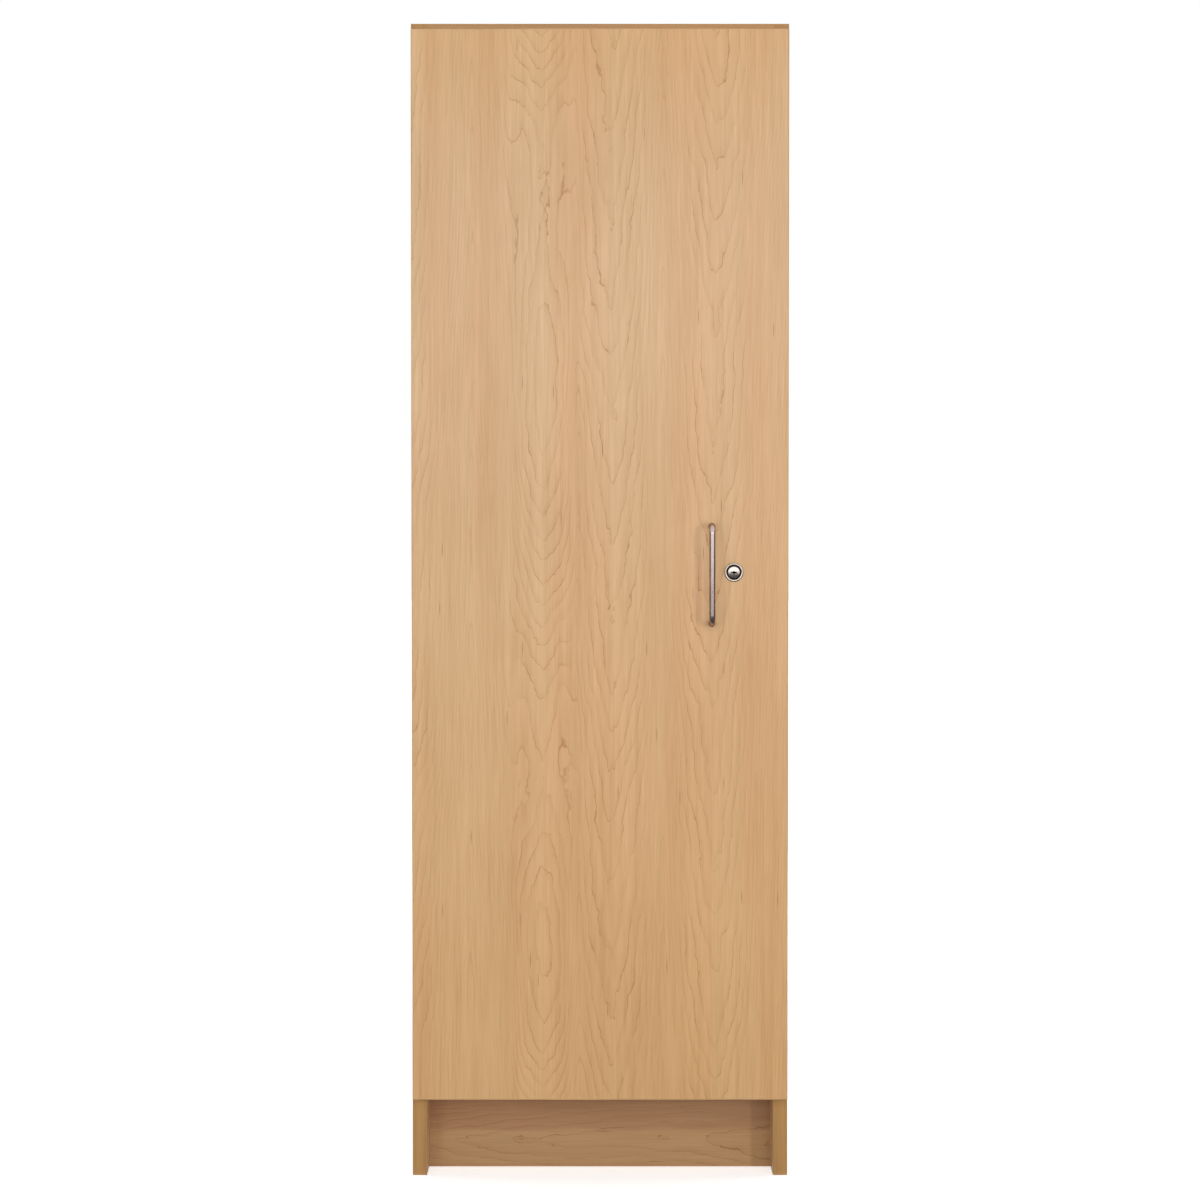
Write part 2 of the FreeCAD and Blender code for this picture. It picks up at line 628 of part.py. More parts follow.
def prism(outline, low_z, high_z):
    """Upright prism over an outline of plan positions."""
    ring = [Vector(x, y, low_z) for x, y in outline + outline[:1]]
    return Part.Face(Part.makePolygon(ring)).extrude(Z_AXIS * (high_z - low_z))


def strap(start, end, half_width, low_z, high_z):
    """Flat bar with round ends between two plan positions."""
    length = math.dist(start, end)
    corners = [(0, half_width), (0, -half_width), (length, -half_width), (length, half_width)]
    web = prism([beside(start, end, *corner) for corner in corners], low_z, high_z)
    return join([web, pin(half_width, start, low_z, high_z), pin(half_width, end, low_z, high_z)])


def beside(start, end, along, left=0.0):
    """Plan position at a distance from start towards end, and at a distance to the left of that way."""
    way = Vector(end[0] - start[0], end[1] - start[1], 0).normalize()
    return (start[0] + way.x * along - way.y * left, start[1] + way.y * along + way.x * left)


def bowed_bar(arm_pivot, cup_pivot, elbows, half_width, low_z, high_z):
    """Flat bar from the arm's pivot to the cup's, through its elbows."""
    points = [arm_pivot] + [beside(arm_pivot, cup_pivot, *elbow) for elbow in elbows] + [cup_pivot]
    return [strap(a, b, half_width, low_z, high_z) for a, b in zip(points[:-1], points[1:])]


def inner_link(z):
    """Long link in the middle of the hinge, with an eye on the arm's pin and one on the cup's."""
    low_z = z - INNER_LINK_HALF_HEIGHT
    high_z = z + INNER_LINK_HALF_HEIGHT
    bars = bowed_bar(arm_inner, cup_inner, INNER_LINK_ELBOWS, INNER_LINK_HALF_WIDTH, low_z, high_z)
    eyes = [pin(INNER_LINK_EYE, at, low_z, high_z) for at in (arm_inner, cup_inner)]
    holes = [pin(PIVOT_RADIUS + RUNNING_PLAY, at, low_z, high_z) for at in (arm_inner, cup_inner)]
    return join(bars + eyes).cut(holes)


def outer_link(z):
    """Pair of short link plates. Their slotted ends leave room for the arm's outer pin as they turn."""
    plates = []
    slot = [beside(arm_outer, cup_outer, SLOT_LEAN, left) for left in (0.0, -SLOT_TRAVEL)]
    slot_radius = PIVOT_RADIUS + SLOT_PLAY
    eye_radius = PIVOT_RADIUS + RUNNING_PLAY
    for half in (-1, 1):
        low_z = z + half * (OUTER_LINK_LOW + OUTER_LINK_PLATE / 2) - OUTER_LINK_PLATE / 2
        high_z = low_z + OUTER_LINK_PLATE
        bars = bowed_bar(arm_outer, cup_outer, OUTER_LINK_ELBOWS, OUTER_LINK_HALF_WIDTH, low_z, high_z)
        eye = pin(OUTER_LINK_EYE, cup_outer, low_z, high_z)
        slot_end = strap(*slot, slot_radius + SLOT_WALL, low_z, high_z)
        holes = [pin(eye_radius, cup_outer, low_z, high_z), strap(*slot, slot_radius, low_z, high_z)]
        plates.append(join(bars + [eye, slot_end]).cut(holes))
    return plates


def hinge_cup(z):
    """Cup with a flat-sided pocket, seated in the door, and the wings that its screws go through."""
    top_y = door_rear_y
    flange_y = top_y + FLANGE_THICKNESS
    shell = rod(CUP_RADIUS - FIT, (cup_x, top_y - CUP_DEPTH, z), (cup_x, top_y, z))
    wing_low = (cup_x - FLANGE_BEHIND, top_y, z - FLANGE_HALF_HEIGHT)
    wings = box(wing_low, (cup_x + FLANGE_AHEAD, flange_y, z + FLANGE_HALF_HEIGHT))
    wings = wings.makeFillet(FLANGE_CORNER, edges_along(wings, Y_AXIS))
    pocket = rod(CUP_RADIUS - CUP_WALL, (cup_x, top_y - CUP_DEPTH + CUP_WALL, z), (cup_x, flange_y, z))
    low_z = z - POCKET_HALF_HEIGHT
    high_z = z + POCKET_HALF_HEIGHT
    slab = box((cup_x - CUP_RADIUS, top_y - CUP_DEPTH, low_z), (cup_x + CUP_RADIUS, flange_y, high_z))
    mouth = box((cup_x - CUP_RADIUS, top_y - MOUTH_DROP, low_z), (cup_x, flange_y, high_z))
    return join([shell, wings]).cut(pocket.common(slab)).cut(mouth)


def countersunk_screw(seat, radius, head_radius):
    """Cup screw from its head's flat face into the door."""
    head = Part.makeCone(head_radius, radius, head_radius - radius, Vector(*seat), -Y_AXIS)
    return join([head, Part.makeCylinder(radius, CUP_SCREW_LENGTH, Vector(*seat), -Y_AXIS)])


def cup_fittings(number, z):
    """Cup screws and pivot pins of one hinge, and their holes."""
    screws = []
    seat_y = door_rear_y + FLANGE_THICKNESS
    for half in (-1, 1):
        seat = (cup_x + CUP_SCREW_OFFSET, seat_y, z + half * CUP_SCREW_SPACING / 2)
        screws.append(countersunk_screw(seat, CUP_SCREW_RADIUS, CUP_SCREW_HEAD_RADIUS))
        hole = countersunk_screw(seat, CUP_SCREW_RADIUS + FIT, CUP_SCREW_HEAD_RADIUS + FIT)
        bore("hinge_cup_%d" % number, hole)
        bore("door_panel", hole)
    reach = POCKET_HALF_HEIGHT + PIVOT_SEAT
    stub = OUTER_LINK_LOW - FIT
    pins = [pin(PIVOT_RADIUS, cup_inner, z - reach, z + reach)]
    for half in (-1, 1):
        pins.append(pin(PIVOT_RADIUS, cup_outer, *sorted((z + half * stub, z + half * reach))))
    for at in (cup_inner, cup_outer):
        bore("hinge_cup_%d" % number, pin(PIVOT_RADIUS, at, z - reach, z + reach))
    return screws, pins


def hinge_arm(z):
    """Channel-shaped arm: two flanges that carry the arm's pivots, and the web that joins them."""
    eye = ARM_NOSE_EYE
    tip_left = (arm_outer[0] - eye, arm_outer[1])
    tip_right = (arm_outer[0] + eye, arm_outer[1])
    crest = (tip_right[0], arm_inner[1] - eye)
    slope = arm_point(ARM_RISE, ARM_SLOPE_END)
    end = arm_point(ARM_RISE, ARM_REACH)
    foot = [arm_point(ARM_FOOT, ARM_REACH), arm_point(ARM_FOOT, ARM_SLOPE_END)]
    outline = foot + [(arm_inner[0] - eye, arm_inner[1]), tip_left, tip_right, crest, slope, end]
    outer_half = ARM_INNER_HALF + ARM_SHEET
    body = prism(outline, z - outer_half, z + outer_half)
    body = join([body, pin(eye, arm_outer, z - outer_half, z + outer_half)])
    past_x = tip_right[0] + eye
    past_y = tip_right[1] - 2 * eye
    hollow = [(x - ARM_SHEET, y) for x, y in (end, slope, crest)]
    hollow += [(past_x, crest[1]), (past_x, past_y), (-inner_x, past_y), (-inner_x, end[1])]
    return body.cut(prism(hollow, z - ARM_INNER_HALF, z + ARM_INNER_HALF))


def arm_pins(number, z):
    """The arm's inner pin runs right through, and its outer pin is two studs beside the inner link."""
    outer_half = ARM_INNER_HALF + ARM_SHEET
    stub = OUTER_LINK_LOW - FIT
    pins = [pin(PIVOT_RADIUS, arm_inner, z - outer_half, z + outer_half)]
    for half in (-1, 1):
        pins.append(pin(PIVOT_RADIUS, arm_outer, *sorted((z + half * stub, z + half * outer_half))))
    for at in (arm_inner, arm_outer):
        bore("hinge_arm_%d" % number, pin(PIVOT_RADIUS, at, z - outer_half, z + outer_half))
    return pins


def mounting_plate(z):
    """Cross-shaped plate on the side panel, with the ridge that the arm sits over."""
    wing_low = arm_point(0, FRONT_ROW - PLATE_HALF_WIDTH)
    wing_high = arm_point(PLATE_THICKNESS, FRONT_ROW + PLATE_HALF_WIDTH)
    wings = box((*wing_low, z - PLATE_HALF_HEIGHT), (*wing_high, z + PLATE_HALF_HEIGHT))
    wings = wings.makeFillet(PLATE_CORNER, edges_along(wings, X_AXIS))
    ridge_low = arm_point(0, RIDGE_START)
    ridge_high = arm_point(RIDGE_HEIGHT, RIDGE_END)
    ridge = box((*ridge_low, z - RIDGE_HALF_HEIGHT), (*ridge_high, z + RIDGE_HALF_HEIGHT))
    return join([wings, ridge])


def plate_screws(number, z):
    """Two system screws that hold a mounting plate in the side panel's front row of holes."""
    screws = []
    for half in (-1, 1):
        screw_z = z + half * GRID / 2
        seat = (*arm_point(PLATE_THICKNESS, FRONT_ROW), screw_z)
        tip = (*arm_point(-STEM_DEPTH, FRONT_ROW), screw_z)
        top = (*arm_point(PLATE_THICKNESS + PLATE_SCREW_HEAD, FRONT_ROW), screw_z)
        stem = rod(SYSTEM_HOLE_RADIUS - FIT, tip, seat)
        screws.append(join([stem, rod(PLATE_SCREW_HEAD_RADIUS, seat, top)]))
        bore("hinge_plate_%d" % number, rod(SYSTEM_HOLE_RADIUS, tip, seat))
        system_hole(-1, front_row_y, screw_z)
    return screws


def arm_screws(number, z):
    """Fixing and adjusting screws that go through the arm's web into the ridge."""
    screws = []
    for depth in ARM_SCREW_AT:
        tip = (*arm_point(RIDGE_HEIGHT - ARM_SCREW_GRIP, depth), z)
        seat = (*arm_point(ARM_RISE, depth), z)
        top = (*arm_point(ARM_RISE + ARM_SCREW_HEAD, depth), z)
        stem = rod(ARM_SCREW_RADIUS - FIT, tip, seat)
        screws.append(join([stem, rod(ARM_SCREW_HEAD_RADIUS, seat, top)]))
        for name in ("hinge_arm_%d", "hinge_plate_%d"):
            bore(name % number, rod(ARM_SCREW_RADIUS, tip, seat))
    return screws


def hinge_heights():
    """Heights of the three hinges, midway between holes of the 32 mm system."""
    low = on_grid(door_bottom_z + HINGE_FROM_END, GRID / 2)
    high = on_grid(door_top_z - HINGE_FROM_END, GRID / 2)
    return (low, on_grid((low + high) / 2, GRID / 2), high)


def add_hinges():
    """Three alike hinges. Their screws and pins share nodes."""
    groups = ("cup_screws", "cup_pivot_pins", "arm_pivot_pins", "plate_screws", "arm_screws")
    shared = {name: [] for name in groups}
    for number, z in enumerate(hinge_heights(), 1):
        add("hinge_cup_%d" % number, hinge_cup(z))
        add("hinge_inner_link_%d" % number, inner_link(z))
        add("hinge_outer_link_%d" % number, outer_link(z))
        add("hinge_arm_%d" % number, hinge_arm(z))
        add("hinge_plate_%d" % number, mounting_plate(z))
        screws, pins = cup_fittings(number, z)
        shared["cup_screws"] += screws
        shared["cup_pivot_pins"] += pins
        shared["arm_pivot_pins"] += arm_pins(number, z)
        shared["plate_screws"] += plate_screws(number, z)
        shared["arm_screws"] += arm_screws(number, z)
        floor_y = door_rear_y - CUP_DEPTH - CUP_BORE_PLAY
        bore("door_panel", rod(CUP_RADIUS, (cup_x, door_rear_y, z), (cup_x, floor_y, z)))
    for name, shapes in shared.items():
        add(name, shapes)


add_side_panels()
add_top_and_bottom()
add_back_and_rails()
add_shelves()
add_dowels()
add_connectors()
add_door()
add_bumpers()
add_pull()
add_lock()
add_lock_cam()
add_strike()
add_hinges()

os.makedirs("parts", exist_ok=True)
for name, shape in pieces.items():
    if name in cuts:
        shape = shape.cut(cuts[name])
    shape.exportStep("parts/%s.step" % name)
    print(name, len(shape.Solids), "solid(s), valid:", shape.isValid(), "volume mm3: %.1f" % shape.Volume)
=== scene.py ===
"""Tall laminate storage cabinet: its finishes, its metalwork and the studio it stands in."""

import json
import math

import bmesh
import bpy
from bpy.props import FloatProperty, FloatVectorProperty, IntProperty, PointerProperty
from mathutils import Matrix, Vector


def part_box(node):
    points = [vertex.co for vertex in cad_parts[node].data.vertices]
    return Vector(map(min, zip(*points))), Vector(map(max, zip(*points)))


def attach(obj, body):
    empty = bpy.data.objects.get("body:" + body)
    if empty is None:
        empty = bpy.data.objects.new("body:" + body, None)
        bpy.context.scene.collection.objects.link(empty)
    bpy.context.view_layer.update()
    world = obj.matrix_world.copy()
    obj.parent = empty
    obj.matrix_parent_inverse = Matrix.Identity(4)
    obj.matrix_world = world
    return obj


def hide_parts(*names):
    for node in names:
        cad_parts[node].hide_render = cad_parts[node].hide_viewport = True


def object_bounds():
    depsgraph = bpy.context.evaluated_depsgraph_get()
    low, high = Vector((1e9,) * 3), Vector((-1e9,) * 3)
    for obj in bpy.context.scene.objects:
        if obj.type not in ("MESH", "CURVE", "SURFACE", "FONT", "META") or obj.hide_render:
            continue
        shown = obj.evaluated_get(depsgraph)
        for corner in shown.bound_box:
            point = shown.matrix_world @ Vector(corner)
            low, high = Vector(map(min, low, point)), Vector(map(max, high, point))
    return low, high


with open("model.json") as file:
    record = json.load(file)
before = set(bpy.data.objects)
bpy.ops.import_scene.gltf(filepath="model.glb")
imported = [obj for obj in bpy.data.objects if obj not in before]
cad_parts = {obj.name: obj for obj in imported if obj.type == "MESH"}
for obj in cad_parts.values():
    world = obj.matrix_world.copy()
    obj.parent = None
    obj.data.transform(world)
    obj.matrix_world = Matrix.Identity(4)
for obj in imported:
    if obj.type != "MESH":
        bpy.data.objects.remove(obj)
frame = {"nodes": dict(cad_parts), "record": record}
cad_low, cad_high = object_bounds()

bl_info = {
    "name": "Tall Laminate Cabinet",
    "version": (1, 0, 0),
    "blender": (4, 5, 0),
    "location": "View3D > Sidebar > Cabinet",
    "description": "Dresses a tall laminate cabinet with its finishes, metalwork and studio",
    "category": "Object",
}

MM = 0.001
X_AXIS = Vector((1, 0, 0))
EDGE_TINT = (0.35, 0.30, 0.28)
SATIN_METAL = 0.72
SMOOTH_ANGLE = math.radians(32)
SCREW_ANGLE = math.radians(26)
EDGE_ANGLE = math.radians(38)
FACE_RADIUS = 7.5 * MM
RING_RADIUS = 9.95 * MM
RIM_RADIUS = 11.6 * MM
KEYWAY_LENGTH = 8.0 * MM
KEYWAY_WIDTH = 1.7 * MM
KEYWAY_EYE = 1.8 * MM
DOME = 0.9 * MM
CAP = 1.0 * MM
SAME_POINT = 0.001 * MM

bodies = frame["record"]["behaviour"]["bodies"]
body_of = {node: body for body, nodes in bodies.items() for node in nodes}


def linear(red, green, blue):
    """A colour given as screen values from 0 to 255, as Blender's own linear values."""
    shares = (red / 255, green / 255, blue / 255)
    return tuple(s / 12.92 if s <= 0.04045 else ((s + 0.055) / 1.055) ** 2.4 for s in shares)


def colour(name, words, value):
    """A colour that a user can change."""
    limits = {"subtype": "COLOR", "size": 3, "min": 0.0, "max": 1.0}
    return FloatVectorProperty(name=name, description=words, default=value, **limits)


def length(name, words, value):
    """A length that a user can change."""
    return FloatProperty(name=name, description=words, default=value, min=0.0, unit="LENGTH", precision=5)


def share(name, words, value):
    """A share from 0 to 1 that a user can change."""
    return FloatProperty(name=name, description=words, default=value, min=0.0, max=1.0, subtype="FACTOR")


def angle(name, words, value):
    """An angle that a user can change."""
    return FloatProperty(name=name, description=words, default=value, subtype="ANGLE")


def power(name, words, value):
    """A lamp's power that a user can change."""
    return FloatProperty(name=name, description=words, default=value, min=0.0, unit="POWER")


class LaminateSettings(bpy.types.PropertyGroup):
    """The printed maple of the boards and the colour of their edges."""

    light: colour("Light wood", "Lightest tone of the printed maple", linear(223, 188, 148))
    dark: colour("Dark wood", "Darker fibres of the printed maple", linear(198, 160, 117))
    blush: colour("Blush", "Tint of the pinkish bands along the grain", (1.0, 0.93, 0.90))
    line: colour("Ring line", "Thin lines at the growth rings", linear(158, 100, 52))
    heart: colour("Heartwood", "Tint of the reddish streak along the toe kick", (0.88, 0.82, 0.86))
    # Painted shade: this tint darkens and warms the whole toe kick, standing in for the shade in its recess.
    shaded_toe_kick: colour("Toe kick", "Tint of the print on the toe kick", (0.70, 0.63, 0.53))
    # Painted shade: this tint darkens and warms the door towards its two ends, where less light and sheen
    # reach it.
    end_shade: colour("Warm end", "Tint of the door's print towards its two ends", (0.98, 0.91, 0.75))
    fleck: colour("Fleck", "Short dark dashes along the grain", linear(116, 64, 30))
    band: colour("Carcass band", "Upright edge bands of the carcass", linear(183, 139, 85))
    # Painted light: a lighter copy of the carcass band colour, for the brighter top strip; the bottom and
    # shelf bands share it.
    lit_level_band: colour("Level band", "Edge bands of top, bottom and shelves", linear(191, 147, 97))
    door_band: colour("Door band", "Edge bands of the door", linear(200, 158, 110))
    core: colour("Board core", "Pressed chips where a board is cut or bored", linear(204, 168, 124))
    arch_pitch: length("Arch pitch", "Distance between the tips of the arches, along the grain", 79 * MM)
    arm_pitch: length("Arm pitch", "Distance between ring lines at the arms of the arches", 15 * MM)
    ring_pitch: length("Ring pitch", "Distance between ring lines beside the arches", 4.2 * MM)
    arch_width: length("Arch width", "Where an arch's arms turn into straight lines", 44 * MM)
    line_width: length("Line width", "Width of a ring line", 1.4 * MM)


class MetalSettings(bpy.types.PropertyGroup):
    """The metal of the pull, the lock and the hinges."""

    pull: colour("Pull", "Satin plating of the pull", linear(200, 183, 178))
    lock: colour("Lock", "Plating of the lock's plug", linear(206, 193, 186))
    bezel: colour("Lock bezel", "Bright plating of the ring round the lock", linear(240, 229, 219))
    # Painted shade: this dark colour stands for the shade in the ring, the keyway and round the plug's face,
    # and on the bezel's outer rim.
    recess_shade: colour("Lock recess", "Dark ring round the lock's plug", linear(46, 34, 28))
    # Painted shade: the ribs are coloured dark to stand for the shade in the ring round the plug.
    shaded_rib: colour("Lock rib", "Ribs in the ring round the lock's plug", linear(74, 60, 54))
    hinge: colour("Hinge", "Nickel plating of the hinges", linear(200, 197, 190))
    steel: colour("Steel", "Plated steel of links and screws", linear(176, 175, 172))
    zinc: colour("Zinc", "Cast cams and connecting bolts", linear(158, 158, 156))
    ribs: IntProperty(name="Lock ribs", description="Number of ribs round the plug", default=30, min=3)
    bend: length("Pull bend", "Radius of the pull's two bends, to the middle of the wire", 11.0 * MM)


class StudioSettings(bpy.types.PropertyGroup):
    """The camera, the lamps and the floor."""

    distance: length("Camera distance", "From the front of the carcass to the camera", 3.700)
    height: length("Camera height", "Above the floor", 0.858)
    view_width: length("View width", "What the picture takes in at the carcass front", 1.5874)
    pitch: angle("Pitch", "How far the camera looks down", math.radians(1.437))
    front: power("Front lamp", "Broad lamp above the camera", 33.0)
    key: power("Key lamp", "Small lamp on the right", 27.0)
    fill: power("Fill lamp", "Lamp on the left", 18.0)
    side: power("Side lamps", "Lamp at each side, behind the door's plane", 30.0)
    rear: power("Rear lamp", "Lamp behind the cabinet", 42.0)
    top: power("Top lamp", "Lamp above the cabinet", 30.0)
    sky: share("Surrounding light", "Strength of the even light", 0.29)


class Wire:
    """An output socket. A sum written on it adds the Math nodes for that sum."""

    def __init__(self, owner, socket):
        self.owner = owner
        self.socket = socket

    def math(self, operation, *others):
        return self.owner.node("ShaderNodeMath", {"operation": operation}, dict(enumerate((self, *others))))

    def other(self, name):
        """Another output of the same node."""
        return Wire(self.owner, self.socket.node.outputs[name])

    def __add__(self, value):
        return self.math("ADD", value)

    __radd__ = __add__

    def __mul__(self, value):
        return self.math("MULTIPLY", value)

    __rmul__ = __mul__

    def __sub__(self, value):
        return self.math("SUBTRACT", value)

    def __rsub__(self, value):
        return self.owner.node("ShaderNodeMath", {"operation": "SUBTRACT"}, {0: value, 1: self})

    def __truediv__(self, value):
        return self.math("DIVIDE", value)

    def __rtruediv__(self, value):
        return self.owner.node("ShaderNodeMath", {"operation": "DIVIDE"}, {0: value, 1: self})

    def __pow__(self, value):
        return self.math("POWER", value)

    def __abs__(self):
        return self.math("ABSOLUTE")

    def __gt__(self, value):
        return self.math("GREATER_THAN", value)


class Nodes:
    """A node tree and the one way that nodes are added to it."""

    def __init__(self, tree):
        self.tree = tree

    def node(self, kind, settings=None, sockets=None, output=0):
        """Adds a node: first its settings, then the values or links of its sockets."""
        node = self.tree.nodes.new(kind)
        for key, value in (settings or {}).items():
            setattr(node, key, value)
        self.fill(node, sockets or {})
        return Wire(self, node.outputs[output]) if node.outputs else node

    def fill(self, node, sockets):
        """Gives a node's sockets their values or links."""
        for key, value in sockets.items():
            socket = node.inputs[key]
            if isinstance(value, Wire):
                self.tree.links.new(value.socket, socket)
            elif socket.type == "RGBA":
                socket.default_value = (*value, 1.0)
            else:
                socket.default_value = value

    def ease(self, value, start, end, low=0.0, high=1.0):
        """Goes smoothly from low to high while the value goes from start to end."""
        sockets = {"Value": value, "From Min": start, "From Max": end, "To Min": low, "To Max": high}
        return self.node("ShaderNodeMapRange", {"interpolation_type": "SMOOTHSTEP"}, sockets)

    def coordinates(self, kind):
        """The object's own coordinates, or the direction that the surface faces in them, by axis letter."""
        where = self.node("ShaderNodeTexCoord", output=kind)
        x = self.node("ShaderNodeSeparateXYZ", None, {0: where})
        return {"X": x, "Y": x.other("Y"), "Z": x.other("Z")}


class Finish(Nodes):
    """A material and the nodes that it is made of."""

    def __init__(self, name):
        self.material = bpy.data.materials.new(name)
        self.material.use_nodes = True
        super().__init__(self.material.node_tree)
        self.tree.nodes.clear()
        self.shader = self.tree.nodes.new("ShaderNodeBsdfPrincipled")
        output = self.tree.nodes.new("ShaderNodeOutputMaterial")
        self.tree.links.new(self.shader.outputs[0], output.inputs["Surface"])

    def set(self, **sockets):
        """Sets the shader's own sockets, with underscores for the spaces in their names."""
        self.fill(self.shader, {key.replace("_", " ").title(): value for key, value in sockets.items()})

    def point(self, x, y, z):
        return self.node("ShaderNodeCombineXYZ", None, {0: x, 1: y, 2: z})

    def noise(self, x, y, z, detail=0.0, roughness=0.5):
        """Soft noise from 0 to 1 at a point."""
        sockets = {"Vector": self.point(x, y, z), "Scale": 1.0, "Detail": detail, "Roughness": roughness}
        return self.node("ShaderNodeTexNoise", None, sockets)

    def mix(self, factor, first, second, blend="MIX"):
        """Mixes two colours."""
        settings = {"data_type": "RGBA", "blend_type": blend}
        return self.node("ShaderNodeMix", settings, {0: factor, 6: first, 7: second}, 2)

    def bump(self, height, distance, strength=1.0):
        """Raises the surface by a height map."""
        sockets = {"Height": height, "Distance": distance, "Strength": strength}
        self.set(normal=self.node("ShaderNodeBump", None, sockets))


def laminate_settings():
    return bpy.context.scene.cabinet_laminate


def metal_settings():
    return bpy.context.scene.cabinet_metal


# The maple print. Across and along are distances in metres on the board, across and along the grain.
SWAY = 14 * MM
TIP_WIDTH = 8 * MM
SIDE_BLEND = 14 * MM
COLUMN_BLEND = 10 * MM
SHADE_WIDTH = 9 * MM
FLECK_SPACING = 3.4 * MM
FLECK_LENGTH = 95 * MM
FLECK_CHANCE = 0.986

# The stretch in which one column's arches turn over
TURN_LENGTH = 0.72
TURN_MIDDLE = 1.15
TURN_RINGS = 3.2
TURN_WIDTH = 55 * MM
TURN_CORE = 20 * MM
NOWHERE = -1.0

# Patterns in the print, as waves per metre across and along the grain
COLUMN_DRIFT = (4.0, 1.3)
RING_DRIFT = (5.0, 2.4)
RING_WANDER = (20.0, 7.0)
RING_TREMBLE = (70.0, 30.0)
LINE_BREAKS = (30.0, 9.0)
HAIRS = (1200.0, 30.0)
FIBRES = (420.0, 11.0)
STRANDS = (120.0, 3.0)
STRIPES = (30.0, 0.8)
CLOUDS = (10.0, 4.0)
BLUSHES = (14.0, 0.6)
HEART_EDGE = (40.0, 14.0)
BAND_STREAKS = (700.0, 9.0)
BAND_CLOUDS = (60.0, 2.0)

# Chips per metre where a board is cut
CHIPS = 420.0

# Heights where the painted shade at the door's two ends begins and where it is strongest
END_SHADE_BOTTOM = (1.20, 0.10)
END_SHADE_TOP = (1.30, 1.58)

# Heights between which the toe kick's reddish streak begins, and how far its edge wanders
HEART_LOW = 51 * MM
HEART_HIGH = 58 * MM
HEART_WANDER = 8 * MM


def pattern(finish, across, along, waves, layer, detail=1.0, roughness=0.5):
    """Noise from 0 to 1 that is drawn out along the grain."""
    return finish.noise(across * waves[0], along * waves[1], layer, detail, roughness)


def ring_field(finish, across, along, layer, arches, turning, wood):
    """How many growth rings deep a place on the board is, and how fast that changes, in rings per metre.

    The rings make a column of arches round each place that arches gives. In the column at turning the
    arches point down for a stretch and up for the next. Three sizes of noise make the lines wander.
    """
    place = across + (pattern(finish, across, along, COLUMN_DRIFT, layer) - 0.5) * SWAY
    apart = None
    for centre in arches:
        side = abs(place - centre)
        apart = side if apart is None else apart.math("SMOOTH_MIN", side, COLUMN_BLEND)
    arm = 1.0 / wood.arm_pitch
    more = (1.0 / wood.ring_pitch - arm) / 2
    tip = (apart * apart + TIP_WIDTH ** 2) ** 0.5
    beyond = apart - wood.arch_width
    bend = (beyond * beyond + SIDE_BLEND ** 2) ** 0.5
    rings = tip * arm + (bend + beyond) * more - along / wood.arch_pitch
    slope = apart / tip * arm + (beyond / bend + 1.0) * more
    climb = (slope * slope + 1.0 / wood.arch_pitch ** 2) ** 0.5
    rings = rings + (pattern(finish, place, along, RING_DRIFT, layer + 7.0, 1.0, 0.4) - 0.5) * 5.0
    rings = rings + (pattern(finish, place, along, RING_WANDER, layer + 9.0) - 0.5) * 1.6
    rings = rings + (pattern(finish, place, along, RING_TREMBLE, layer + 13.0, 2.0, 0.6) - 0.5) * 0.9
    wave = ((along - TURN_MIDDLE) * (2 * math.pi / TURN_LENGTH)).math("SINE")
    near = finish.ease(abs(place - turning), TURN_WIDTH, TURN_CORE)
    return rings + wave * near * TURN_RINGS, climb


def maple_print(finish, across, along, layer, arches, turning, wood):
    """The print's colour, from its fibres, tone bands, ring lines and flecks, and the fibres' height."""
    rings, climb = ring_field(finish, across, along, layer, arches, turning, wood)
    through = rings.math("FRACT")
    before = (1.0 - through) / climb
    after = through / climb
    half = wood.line_width / 2
    core = finish.ease(before, half, 0.0) + finish.ease(after, half, 0.0)
    soft = finish.ease(before, SHADE_WIDTH, 0.0)
    room = finish.ease(1.0 / climb, wood.ring_pitch, wood.arm_pitch, 0.30, 1.0)
    patch = finish.ease(pattern(finish, across, along, LINE_BREAKS, layer + 3.0), 0.36, 0.62, 0.15, 1.0)

    hair = pattern(finish, across, along, HAIRS, layer + 19.0)
    fibre = pattern(finish, across, along, FIBRES, layer + 21.0, 2.0, 0.6)
    strand = pattern(finish, across, along, STRANDS, layer + 23.0)
    stripe = pattern(finish, across, along, STRIPES, layer + 27.0)
    cloud = pattern(finish, across, along, CLOUDS, layer + 29.0)
    tone = 0.5 + (hair - 0.5) * 0.5 + (fibre - 0.5) * 0.9 + (strand - 0.5) * 0.6 + (stripe - 0.5) * 0.5
    tone = tone + (cloud - 0.5) * 0.5 - soft * room * 0.20
    shade = finish.mix(tone.math("MAXIMUM", 0.0).math("MINIMUM", 1.0), wood.dark, wood.light)
    blush = finish.ease(pattern(finish, across, along, BLUSHES, layer + 31.0), 0.42, 0.66)
    shade = finish.mix(blush * 0.8, shade, wood.blush, "MULTIPLY")
    shade = finish.mix(core * room * patch * 0.7, shade, wood.line)

    cell = finish.point(across / FLECK_SPACING, along / FLECK_LENGTH, layer)
    dash = finish.node("ShaderNodeTexVoronoi", {"voronoi_dimensions": "2D"}, {"Vector": cell, "Scale": 1.0})
    chance = finish.node("ShaderNodeSeparateColor", None, {0: dash.other("Color")})
    fleck = finish.ease(dash, 0.15, 0.03) * (chance > FLECK_CHANCE)
    return finish.mix(fleck * 0.8, shade, wood.fleck), fibre


def chip_colour(finish, where, wood):
    """Pressed chips, as a cut or bored board shows them."""
    spot = finish.point(where["X"] * CHIPS, where["Y"] * CHIPS, where["Z"] * CHIPS)
    chips = finish.node("ShaderNodeTexVoronoi", None, {"Vector": spot, "Scale": 1.0}, "Color")
    tone = finish.node("ShaderNodeSeparateColor", None, {0: chips})
    dark = tuple(c * 0.78 for c in wood.core)
    return finish.mix(tone, wood.core, dark)


